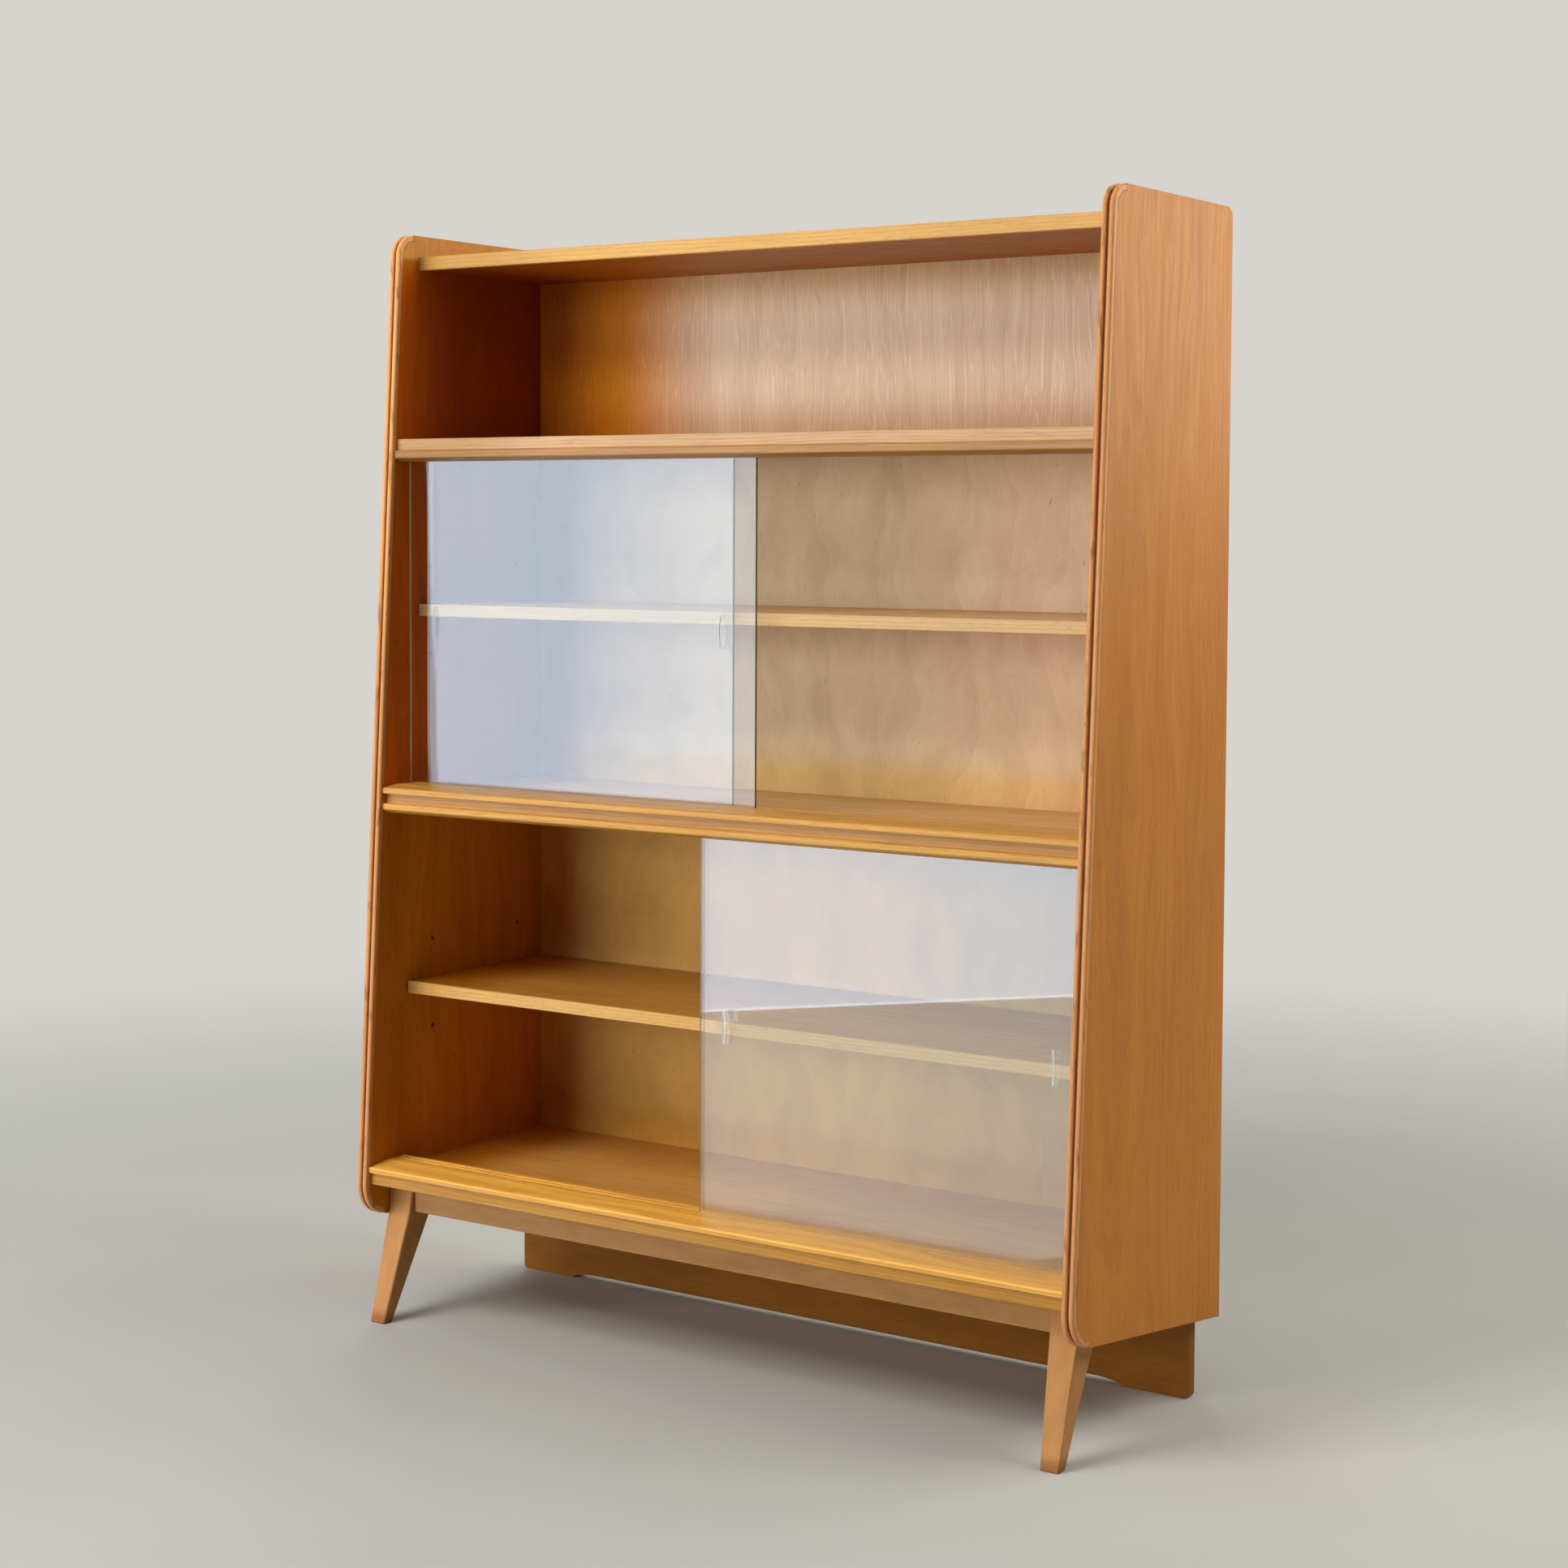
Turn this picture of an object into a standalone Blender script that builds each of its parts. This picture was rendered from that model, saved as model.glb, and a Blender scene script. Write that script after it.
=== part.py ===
"""A free-standing bookcase: an open bay over two bays that close with sliding glass panes.

Two side panels carry four fixed boards. The boards' front rails hold the grooves that the panes run in.
Lengths are in metres. +Z is up, the front faces -Y, and the origin is at the middle of the box's base.
A depth is a distance in front of the side panels' rear edges.
"""

import math
from typing import NamedTuple

import bmesh
import bpy
from mathutils import Vector

GAP = 0.0003  # between faces that are glued or that rest on each other

# Side panels
WIDTH = 1.120
HEIGHT = 1.511
SIDE_THICKNESS = 0.017
SIDE_TOP_DEPTH = 0.324
SIDE_FOOT_DEPTH = 0.4025
SIDE_REAR_FOOT = 0.098
SIDE_FRONT_FOOT = 0.151
TOP_FRONT_RADIUS = 0.031
TOP_REAR_RADIUS = 0.014
FOOT_RADIUS = 0.046
ARC_STEP = math.radians(11.25)

# Side lippings: two beads with a groove between them
LIPPING_DEPTH = 0.008
LIPPING_GROOVE_WIDTH = 0.0026
LIPPING_GROOVE_DEPTH = 0.0035
BEAD_RISE = 0.003
BEAD_STEPS = 6

# Heights of the boards and of the clear bays
TOP_DROP = 0.029
TOP_THICKNESS = 0.019
OPEN_BAY_HEIGHT = 0.236
UPPER_BAY_PITCH = 0.4913
BOTTOM_LEVEL = 0.2089
BOARD_THICKNESS = 0.017
TOP_BOARD_DEPTH = 0.284
BOARD_LIPPING = 0.008
BOARD_EDGE_RADIUS = 0.0015

# Back panels, let into rebates in the side panels
BACK_DEPTH = 0.0136
BACK_THICKNESS = 0.006
REBATE_WIDTH = 0.0085

# Rails, which carry the pane grooves
RAIL_SETBACK = 0.0055
RAIL_RISE = 0.012
RAIL_BEHIND_GROOVE = 0.008
RAIL_UNDER_RUN = 0.0105  # from a nose back to the flat underside
NOSE_RADIUS = 0.003
ARRIS_RADIUS = 0.0008
FALL_RADIUS = 0.030
FIXED_RAIL_HEIGHT = 0.031
FIXED_FACE_SETBACK = 0.0055
FIXED_BEAD_DROP = 0.0155
FIXED_BEAD_HEIGHT = 0.011
MIDDLE_RAIL_DROP = 0.0272
MIDDLE_FLAT_SHARE = 0.45  # of the way from the front groove to the nose
MIDDLE_FALL = 0.0042
MIDDLE_HOLLOW_DEPTH = 0.0075
MIDDLE_HOLLOW_DROP = 0.0137
MIDDLE_BEAD_HEIGHT = 0.0088
BOTTOM_FLAT_SHARE = 0.265
BOTTOM_FALL = 0.0046
BOTTOM_BAND_SETBACK = 0.005

# Glass panes
PANE_THICKNESS = 0.004
PANE_PITCH = 0.010
PANE_PLAY = 0.0005
PANE_BEHIND_NOSE = 0.0215
LOWER_GROOVE_DEPTH = 0.005
UPPER_GROOVE_DEPTH = 0.012
PANE_TOP_HOLD = 0.006
PANE_STOP_PLAY = 0.0005
UPPER_OVERLAP = 0.018
LOWER_OVERLAP = 0.030
UPPER_PANE_SLID = 0.041
UPPER_PULL_INSET = 0.050
LOWER_PULL_INSET = 0.0425
PULL_HEIGHT = 0.045
PULL_WIDTH = 0.013
PULL_DEPTH = 0.0018

# Adjustable shelves and their pins
SHELF_THICKNESS = 0.017
SHELF_END_CLEARANCE = 0.003
SHELF_BACK_CLEARANCE = 0.001
SHELF_BEHIND_PANE = 0.0135
SHELF_LIPPING = 0.006
SHELF_EDGE_RADIUS = 0.0012
PIN_RADIUS = 0.0033
PIN_IN_SIDE = 0.009
PIN_IN_SHELF = 0.009
PIN_REAR_DEPTH = 0.0685
PIN_BEHIND_FRONT = 0.0297  # behind the upper shelf's front
PIN_PITCH = 0.0624
PIN_LEVELS = (-1, 0, 1)  # holes in a column, counted from the one in use
UPPER_PIN_OFFSET = 0.0157  # from the middle of the bay
LOWER_PIN_OFFSET = -0.0055

# Dowels between the fixed boards and the sides
DOWEL_RADIUS = 0.004
DOWEL_IN_SIDE = 0.011
DOWEL_IN_BOARD = 0.018
DOWEL_INSET = 0.050
ROUND_SIDES = 12

# Apron and front legs
APRON_BEHIND_NOSE = 0.0484
APRON_THICKNESS = 0.017
APRON_HEIGHT = 0.041
LEG_TOP_WIDTH = 0.042
LEG_FOOT_WIDTH = 0.025
LEG_FOOT_OUT = 0.003
LEG_TOP_BEHIND_NOSE = 0.0454
LEG_KNEE_BEHIND_NOSE = 0.0404
LEG_FOOT_AHEAD_OF_NOSE = 0.0016
LEG_TOP_DEPTH = 0.046
LEG_KNEE_DEPTH = 0.048
LEG_FOOT_DEPTH = 0.018
LEG_BEVEL = 0.0015

# Rear base board
BASE_FRONT = 0.0523
BASE_THICKNESS = 0.018
BASE_CORNER_RADIUS = 0.006
CUTOUT_RISE = 0.008
CUTOUT_INSET = 0.094
CUTOUT_RUNOUT = 0.045
RUNOUT_STEPS = 6

# Glue blocks
BLOCK_SIZE = 0.030
BLOCK_HEIGHT = 0.038

OVERCUT = 0.002  # how far a cutter stands out of the wood that it enters

INNER_X = WIDTH / 2 - SIDE_THICKNESS
PIECE_X = INNER_X - GAP
TOP_LEVEL = HEIGHT - TOP_DROP
FIXED_LEVEL = TOP_LEVEL - TOP_THICKNESS - OPEN_BAY_HEIGHT
MIDDLE_LEVEL = FIXED_LEVEL - UPPER_BAY_PITCH
UNDERSIDE = BOTTOM_LEVEL - BOARD_THICKNESS
BOARD_REAR = BACK_DEPTH + GAP
BETWEEN_LEGS_X = PIECE_X - LEG_TOP_WIDTH - GAP


def side_front(height):
    """Depth of the side panels' front edge at a height."""
    lean = (SIDE_FOOT_DEPTH - SIDE_TOP_DEPTH) / (HEIGHT - SIDE_FRONT_FOOT)
    return SIDE_TOP_DEPTH + lean * (HEIGHT - height)


def arc(centre, radius, start, end):
    """Points on an arc, ends included; angles in radians."""
    steps = max(1, math.ceil(abs(end - start) / ARC_STEP))
    angles = [start + (end - start) * i / steps for i in range(steps + 1)]
    return [centre + radius * Vector((math.cos(a), math.sin(a))) for a in angles]


def corner_arc(before, corner, after, radius):
    """Points that round one corner of an outline."""
    towards_before = (before - corner).normalized()
    towards_after = (after - corner).normalized()
    half = towards_before.angle(towards_after) / 2
    centre = corner + (towards_before + towards_after).normalized() * (radius / math.sin(half))
    first = corner + towards_before * (radius / math.tan(half)) - centre
    last = corner + towards_after * (radius / math.tan(half)) - centre
    start = math.atan2(first.y, first.x)
    turn = (math.atan2(last.y, last.x) - start + math.pi) % math.tau - math.pi
    return arc(centre, radius, start, start + turn)


def rounded(corners):
    """An outline through corners (depth, height, radius); a radius of 0 stays sharp."""
    points = [Vector(c[:2]) for c in corners]
    outline = []
    for i, (corner, (_, _, radius)) in enumerate(zip(points, corners)):
        if radius:
            outline += corner_arc(points[i - 1], corner, points[(i + 1) % len(points)], radius)
        else:
            outline.append(corner)
    return outline


def side_corners():
    """The side panel's four corners, rear foot first."""
    return [
        (0, SIDE_REAR_FOOT, 0),
        (SIDE_FOOT_DEPTH, SIDE_FRONT_FOOT, FOOT_RADIUS),
        (SIDE_TOP_DEPTH, HEIGHT, TOP_FRONT_RADIUS),
        (0, HEIGHT, TOP_REAR_RADIUS),
    ]


REAR_Y = max(point.x for point in rounded(side_corners())) / 2


def add_object(name, mesh, colour, roughness=0.45, metallic=0.0, location=(0, 0, 0)):
    """One piece as an object with its own material."""
    material = bpy.data.materials.new(name)
    material.use_nodes = True
    shader = material.node_tree.nodes["Principled BSDF"]
    shader.inputs["Base Color"].default_value = (*colour, 1)
    shader.inputs["Roughness"].default_value = roughness
    shader.inputs["Metallic"].default_value = metallic
    mesh.materials.append(material)
    piece = bpy.data.objects.new(name, mesh)
    piece.location = location
    bpy.context.scene.collection.objects.link(piece)
    return piece


def new_mesh(name, model):
    """A mesh with its faces turned out."""
    bmesh.ops.recalc_face_normals(model, faces=model.faces)
    mesh = bpy.data.meshes.new(name)
    model.to_mesh(mesh)
    model.free()
    return mesh


def loft(model, rings):
    """A closed solid through rings of points, one ring after another."""
    rows = [[model.verts.new(point) for point in ring] for ring in rings]
    for near, far in zip(rows, rows[1:]):
        for i in range(len(near)):
            model.faces.new((near[i - 1], near[i], far[i], far[i - 1]))
    model.faces.new(rows[0])
    model.faces.new(rows[-1])


def extrude(model, outline, start, end):
    """A solid with an outline of (depth, height) points, from start to end along X."""
    loft(model, [[(x, -depth, height) for depth, height in outline] for x in (start, end)])


def block(model, xs, depths, heights):
    """A rectangular solid between pairs of limits."""
    outline = [(d, h) for d, h in zip((*depths, *reversed(depths)), (heights[0],) * 2 + (heights[1],) * 2)]
    extrude(model, outline, *xs)


def rod(model, radius, start, end, depth, height):
    """A round solid along X."""
    turns = [math.tau * i / ROUND_SIDES for i in range(ROUND_SIDES)]
    outline = [(depth + radius * math.cos(a), height + radius * math.sin(a)) for a in turns]
    extrude(model, outline, start, end)


def cut(piece, model):
    """Cuts a piece with the solids in model, which share its place."""
    cutter = bpy.data.objects.new(piece.name + "_cutter", new_mesh(piece.name + "_cutter", model))
    cutter.location = piece.location
    cutter.hide_render = True
    cutter.display_type = "WIRE"
    bpy.context.scene.collection.objects.link(cutter)
    modifier = piece.modifiers.new("Cut", "BOOLEAN")
    modifier.solver = "EXACT"
    modifier.object = cutter


def at_rear(height=0.0):
    """A piece's place, with its depths counted from the side panels' rear edges."""
    return (0, REAR_Y, height)


VENEER = (0.50, 0.22, 0.07)
LIPPING_WOOD = (0.62, 0.36, 0.12)
RAIL_WOOD = (0.70, 0.40, 0.12)
PLY = (0.42, 0.30, 0.16)
BASE_WOOD = (0.36, 0.15, 0.04)
BEECH = (0.62, 0.44, 0.26)
GLASS = (0.75, 0.85, 0.82)
BRASS = (0.60, 0.45, 0.20)

SIDES = {"left": -1, "right": 1}


class Bay(NamedTuple):
    """A glazed bay between two boards; rail_nose and rail_under are those of the rail over it."""

    name: str
    floor: float
    ceiling: float
    rail_nose: float
    rail_under: float
    pin_offset: float
    overlap: float
    pull_inset: float

    def pane_depths(self):
        """Depths of the front faces of the rear and the front pane."""
        front = self.rail_nose - PANE_BEHIND_NOSE
        return {"rear": front - PANE_PITCH, "front": front}

    def groove_front(self):
        """Front wall of the front pane's groove."""
        return self.pane_depths()["front"] + PANE_PLAY

    def rail_rear(self):
        """Rear face of the rails that hold the panes."""
        return self.pane_depths()["rear"] - PANE_THICKNESS - PANE_PLAY - RAIL_BEHIND_GROOVE

    def pane_width(self):
        """Two panes fill the opening and overlap when shut."""
        return INNER_X + self.overlap / 2

    def shelf_front(self):
        """Front of the adjustable shelf, clear of the panes."""
        return self.pane_depths()["rear"] - PANE_THICKNESS - SHELF_BEHIND_PANE

    def pin_height(self):
        """Axis of the shelf pins in use."""
        return (self.floor + self.ceiling) / 2 + self.pin_offset


BOTTOM_NOSE = side_front(BOTTOM_LEVEL) - RAIL_SETBACK
UPPER = Bay(
    name="upper",
    floor=MIDDLE_LEVEL,
    ceiling=FIXED_LEVEL - BOARD_THICKNESS,
    rail_nose=side_front(FIXED_LEVEL - FIXED_RAIL_HEIGHT) - RAIL_SETBACK,
    rail_under=FIXED_LEVEL - FIXED_RAIL_HEIGHT,
    pin_offset=UPPER_PIN_OFFSET,
    overlap=UPPER_OVERLAP,
    pull_inset=UPPER_PULL_INSET,
)
LOWER = Bay(
    name="lower",
    floor=BOTTOM_LEVEL,
    ceiling=MIDDLE_LEVEL - BOARD_THICKNESS,
    rail_nose=side_front(MIDDLE_LEVEL) - RAIL_SETBACK,
    rail_under=MIDDLE_LEVEL - MIDDLE_RAIL_DROP,
    pin_offset=LOWER_PIN_OFFSET,
    overlap=LOWER_OVERLAP,
    pull_inset=LOWER_PULL_INSET,
)
PIN_DEPTHS = {"rear": PIN_REAR_DEPTH, "front": UPPER.shelf_front() - PIN_BEHIND_FRONT}


def board_ends():
    """Each fixed board's name, mid height and front depth."""
    return [
        ("top_board", TOP_LEVEL - TOP_THICKNESS / 2, TOP_BOARD_DEPTH - BOARD_LIPPING - GAP),
        ("fixed_shelf", FIXED_LEVEL - BOARD_THICKNESS / 2, UPPER.rail_rear() - GAP),
        ("middle_board", MIDDLE_LEVEL - BOARD_THICKNESS / 2, UPPER.rail_rear() - GAP),
        ("bottom_board", BOTTOM_LEVEL - BOARD_THICKNESS / 2, LOWER.rail_rear() - GAP),
    ]


def dowel_depths(front):
    """Depths of the two dowels in the end of a board that reaches to front."""
    return {"rear": BOARD_REAR + DOWEL_INSET, "front": front - DOWEL_INSET}


def side_panel(name, side):
    """A veneered side panel, stepped back along its front for the lipping."""
    inset = LIPPING_DEPTH + GAP
    corners = [Vector(c[:2]) for c in side_corners()]
    rear_foot, front_foot, front_top, rear_top = corners
    foot = corner_arc(rear_foot, front_foot, front_top, FOOT_RADIUS)
    top = corner_arc(front_foot, front_top, rear_top, TOP_FRONT_RADIUS)
    along_foot = (front_foot - rear_foot).normalized()
    along_top = (front_top - rear_top).normalized()
    inner = offset_path(foot + top, inset)
    outline = [rear_foot, foot[0] - along_foot * GAP, inner[0] - along_foot * GAP]
    outline += inner
    outline += [inner[-1] - along_top * GAP, top[-1] - along_top * GAP]
    outline += corner_arc(front_top, rear_top, rear_foot, TOP_REAR_RADIUS)
    model = bmesh.new()
    extrude(model, outline, side * INNER_X, side * WIDTH / 2)
    panel = add_object(name, new_mesh(name, model), VENEER, location=at_rear())

    cutters = bmesh.new()
    wall = side * INNER_X
    inside = wall - side * OVERCUT
    back_bottom = UNDERSIDE - GAP
    block(
        cutters,
        (inside, wall + side * REBATE_WIDTH),
        (-OVERCUT, BACK_DEPTH + GAP),
        (back_bottom, TOP_LEVEL + GAP),
    )
    for _, height, front in board_ends():
        for depth in dowel_depths(front).values():
            rod(cutters, DOWEL_RADIUS + GAP, inside, wall + side * (DOWEL_IN_SIDE + GAP), depth, height)
    for bay in (UPPER, LOWER):
        for step in PIN_LEVELS:
            height = bay.pin_height() + step * PIN_PITCH
            for depth in PIN_DEPTHS.values():
                rod(cutters, PIN_RADIUS + GAP, inside, wall + side * (PIN_IN_SIDE + GAP), depth, height)
    cut(panel, cutters)


def offset_path(path, distance):
    """The path moved to its left, square to itself at each point."""
    moved = []
    for i, point in enumerate(path):
        along = (path[min(i + 1, len(path) - 1)] - path[max(i - 1, 0)]).normalized()
        moved.append(point + Vector((-along.y, along.x)) * distance)
    return moved


def lipping_section():
    """Across and out from the joint: two beads and the groove between them."""
    half = SIDE_THICKNESS / 2
    groove = LIPPING_GROOVE_WIDTH / 2
    shoulder = LIPPING_DEPTH - BEAD_RISE
    floor = LIPPING_DEPTH - LIPPING_GROOVE_DEPTH
    bead = []
    for i in range(BEAD_STEPS + 1):
        turn = math.pi * i / BEAD_STEPS
        middle = (half + groove) / 2
        bead.append((middle + (half - groove) / 2 * math.cos(turn), shoulder + BEAD_RISE * math.sin(turn)))
    right = [(half, 0), *bead, (groove, floor)]
    return right + [(-across, out) for across, out in reversed(right)]


def side_lipping(name, side):
    """The beaded front edge, bent round both front corners."""
    rear_foot, front_foot, front_top, rear_top = [Vector(c[:2]) for c in side_corners()]
    path = corner_arc(rear_foot, front_foot, front_top, FOOT_RADIUS)
    path += corner_arc(front_foot, front_top, rear_top, TOP_FRONT_RADIUS)
    joint = offset_path(path, LIPPING_DEPTH)
    middle = side * (INNER_X + SIDE_THICKNESS / 2)
    rings = []
    for outer, inner in zip(path, joint):
        out = (outer - inner) / LIPPING_DEPTH
        ring = [(across, inner + out * rise) for across, rise in lipping_section()]
        rings.append([(middle + across, -point.x, point.y) for across, point in ring])
    model = bmesh.new()
    loft(model, rings)
    add_object(name, new_mesh(name, model), LIPPING_WOOD, location=at_rear())


def board(name, level, thickness, front, colour):
    """A fixed board with two dowel holes in each end."""
    model = bmesh.new()
    block(model, (-PIECE_X, PIECE_X), (BOARD_REAR, front), (-thickness, 0))
    piece = add_object(name, new_mesh(name, model), colour, location=at_rear(level))
    cutters = bmesh.new()
    for side in SIDES.values():
        for depth in dowel_depths(front).values():
            ends = (side * (PIECE_X + OVERCUT), side * (INNER_X - DOWEL_IN_BOARD - GAP))
            rod(cutters, DOWEL_RADIUS + GAP, *ends, depth, -thickness / 2)
    cut(piece, cutters)


def dowels():
    """Two dowels in each end of each fixed board."""
    for board_name, height, front in board_ends():
        for side_name, side in SIDES.items():
            for place, depth in dowel_depths(front).items():
                model = bmesh.new()
                ends = (side * (INNER_X - DOWEL_IN_BOARD), side * (INNER_X + DOWEL_IN_SIDE))
                rod(model, DOWEL_RADIUS, *ends, depth, 0)
                name = f"{board_name}_dowel_{side_name}_{place}"
                add_object(name, new_mesh(name, model), BEECH, location=at_rear(height))


def straight_lipping(name, level, thickness, front, depth, half_width, edge_radius):
    """A flat front lipping with softened front edges."""
    model = bmesh.new()
    outline = rounded([
        (front - depth, -thickness, 0),
        (front, -thickness, edge_radius),
        (front, 0, edge_radius),
        (front - depth, 0, 0),
    ])
    extrude(model, outline, -half_width, half_width)
    add_object(name, new_mesh(name, model), LIPPING_WOOD, location=at_rear(level))


def grooves(bay, face, bottom):
    """Corners of the bay's two pane grooves in a rail, from its rear to its front."""
    corners = []
    for pane_front in bay.pane_depths().values():
        back = pane_front - PANE_THICKNESS - PANE_PLAY
        front = pane_front + PANE_PLAY
        corners += [(back, face, 0), (back, bottom, 0), (front, bottom, 0), (front, face, 0)]
    return corners


def floor_grooves(bay):
    """The shallow grooves in the raised top of a rail."""
    return grooves(bay, RAIL_RISE, RAIL_RISE - LOWER_GROOVE_DEPTH)


def ceiling_grooves(bay, under):
    """The deep grooves in a rail's underside, from the front to the rear."""
    return list(reversed(grooves(bay, under, under + UPPER_GROOVE_DEPTH)))


def between(start, end, share):
    return start + (end - start) * share


def rail(name, level, corners):
    """A moulded rail between the side panels."""
    model = bmesh.new()
    extrude(model, rounded(corners), -PIECE_X, PIECE_X)
    add_object(name, new_mesh(name, model), RAIL_WOOD, location=at_rear(level))


def fixed_shelf_rail():
    """The rail under the open bay: a flat face over a bead."""
    nose = UPPER.rail_nose
    face = nose - FIXED_FACE_SETBACK
    under = -FIXED_RAIL_HEIGHT
    rail("fixed_shelf_rail", FIXED_LEVEL, [
        (UPPER.rail_rear(), under, 0),
        (UPPER.rail_rear(), 0, 0),
        (face, 0, ARRIS_RADIUS),
        (face, -FIXED_BEAD_DROP, ARRIS_RADIUS),
        (nose, -FIXED_BEAD_DROP, NOSE_RADIUS),
        (nose, -FIXED_BEAD_DROP - FIXED_BEAD_HEIGHT, NOSE_RADIUS),
        (nose - RAIL_UNDER_RUN, under, NOSE_RADIUS),
        *ceiling_grooves(UPPER, under),
    ])


def middle_rail():
    """The rail of both glazed bays: a raised flat top, a nose, a hollow and a bead."""
    nose = LOWER.rail_nose
    hollow = nose - MIDDLE_HOLLOW_DEPTH
    under = -MIDDLE_RAIL_DROP
    rail("middle_rail", MIDDLE_LEVEL, [
        (UPPER.rail_rear(), under, 0),
        (UPPER.rail_rear(), RAIL_RISE, ARRIS_RADIUS),
        *floor_grooves(UPPER),
        (between(UPPER.groove_front(), nose, MIDDLE_FLAT_SHARE), RAIL_RISE, FALL_RADIUS),
        (nose, RAIL_RISE - MIDDLE_FALL, NOSE_RADIUS),
        (nose, 0, ARRIS_RADIUS),
        (hollow, 0, ARRIS_RADIUS),
        (hollow, -MIDDLE_HOLLOW_DROP, ARRIS_RADIUS),
        (nose, -MIDDLE_HOLLOW_DROP, NOSE_RADIUS),
        (nose, -MIDDLE_HOLLOW_DROP - MIDDLE_BEAD_HEIGHT, NOSE_RADIUS),
        (nose - RAIL_UNDER_RUN, under, NOSE_RADIUS),
        *ceiling_grooves(LOWER, under),
    ])


def bottom_rail():
    """The rail under the lower bay: a flat top that falls to a nose, over a set-back band."""
    band = BOTTOM_NOSE - BOTTOM_BAND_SETBACK
    rail("bottom_rail", BOTTOM_LEVEL, [
        (LOWER.rail_rear(), -BOARD_THICKNESS, 0),
        (LOWER.rail_rear(), RAIL_RISE, ARRIS_RADIUS),
        *floor_grooves(LOWER),
        (between(LOWER.groove_front(), BOTTOM_NOSE, BOTTOM_FLAT_SHARE), RAIL_RISE, FALL_RADIUS),
        (BOTTOM_NOSE, RAIL_RISE - BOTTOM_FALL, NOSE_RADIUS),
        (BOTTOM_NOSE, 0, ARRIS_RADIUS),
        (band, 0, 0),
        (band, -BOARD_THICKNESS, ARRIS_RADIUS),
    ])


def back_panel(name, bottom, top, colour):
    """A plywood back in the side panels' rebates."""
    half = INNER_X + REBATE_WIDTH - GAP
    model = bmesh.new()
    block(model, (-half, half), (BACK_DEPTH - BACK_THICKNESS, BACK_DEPTH), (0, top - bottom))
    add_object(name, new_mesh(name, model), colour, location=at_rear(bottom))


def back_panels():
    """Three backs that meet behind the fixed shelf and the middle board."""
    fixed_joint = FIXED_LEVEL - BOARD_THICKNESS / 2
    middle_joint = MIDDLE_LEVEL - BOARD_THICKNESS / 2
    back_panel("open_bay_back_panel", fixed_joint + GAP, TOP_LEVEL, VENEER)
    back_panel("upper_bay_back_panel", middle_joint + GAP, fixed_joint, PLY)
    back_panel("lower_bay_back_panel", UNDERSIDE, middle_joint, PLY)


def pane(name, left, width, depth, bottom, top, pull_x):
    """A glass pane about its own middle, with a ground finger pull in its front face."""
    half = (width / 2, (top - bottom) / 2)
    model = bmesh.new()
    block(model, (-half[0], half[0]), (-PANE_THICKNESS, 0), (-half[1], half[1]))
    place = (left + half[0], REAR_Y - depth, (top + bottom) / 2)
    piece = add_object(name, new_mesh(name, model), GLASS, roughness=0.05, location=place)
    grinder = bmesh.new()
    bmesh.ops.create_uvsphere(grinder, u_segments=16, v_segments=12, radius=1)
    size = (PULL_WIDTH / 2, PULL_DEPTH, PULL_HEIGHT / 2)
    for vert in grinder.verts:
        vert.co = Vector((pull_x + vert.co.x * size[0], vert.co.y * size[1], vert.co.z * size[2]))
    cut(piece, grinder)


def bay_panes(bay, level, runs, lefts):
    """A bay's left and right pane, from the grooves in the rail at level to those in the rail above."""
    bottom = level + RAIL_RISE - LOWER_GROOVE_DEPTH + GAP
    top = bay.rail_under + PANE_TOP_HOLD
    for (hand, side), run, left in zip(SIDES.items(), runs, lefts):
        pull = side * (bay.pane_width() / 2 - bay.pull_inset)
        name = f"{bay.name}_{hand}_pane"
        pane(name, left, bay.pane_width(), bay.pane_depths()[run], bottom, top, pull)


def panes():
    """Four panes, as the photo shows them: one upper pane and one lower pane stand open."""
    stop = INNER_X - PANE_STOP_PLAY
    shut_right = stop - LOWER.pane_width()
    bay_panes(UPPER, MIDDLE_LEVEL, ("rear", "front"), (-stop, -stop + UPPER_PANE_SLID))
    bay_panes(LOWER, BOTTOM_LEVEL, ("front", "rear"), (shut_right, shut_right))


def adjustable_shelf(bay):
    """A loose shelf whose ends are notched from below over its four pins."""
    name = f"{bay.name}_adjustable_shelf"
    half = INNER_X - SHELF_END_CLEARANCE
    front = bay.shelf_front()
    top = bay.pin_height() + SHELF_THICKNESS / 2
    model = bmesh.new()
    depths = (BACK_DEPTH + SHELF_BACK_CLEARANCE, front - SHELF_LIPPING - GAP)
    block(model, (-half, half), depths, (-SHELF_THICKNESS, 0))
    piece = add_object(name, new_mesh(name, model), VENEER, location=at_rear(top))
    lipping = (front, SHELF_LIPPING, half)
    straight_lipping(name + "_lipping", top, SHELF_THICKNESS, *lipping, SHELF_EDGE_RADIUS)
    notch = PIN_RADIUS + GAP
    axis = -SHELF_THICKNESS / 2
    foot = -SHELF_THICKNESS - OVERCUT
    cutters = bmesh.new()
    for side in SIDES.values():
        for depth in PIN_DEPTHS.values():
            crown = arc(Vector((depth, axis)), notch, math.pi, 0)
            outline = [(depth - notch, foot), *crown, (depth + notch, foot)]
            extrude(cutters, outline, side * (half + OVERCUT), side * (half - PIN_IN_SHELF - GAP))
    cut(piece, cutters)


def shelf_pins(bay):
    """Four pins under one adjustable shelf."""
    for side_name, side in SIDES.items():
        for place, depth in PIN_DEPTHS.items():
            name = f"{bay.name}_shelf_pin_{side_name}_{place}"
            model = bmesh.new()
            inner = side * (INNER_X - SHELF_END_CLEARANCE - PIN_IN_SHELF)
            rod(model, PIN_RADIUS, inner, side * (INNER_X + PIN_IN_SIDE), depth, 0)
            add_object(name, new_mesh(name, model), BRASS, 0.35, 1.0, at_rear(bay.pin_height()))


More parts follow.
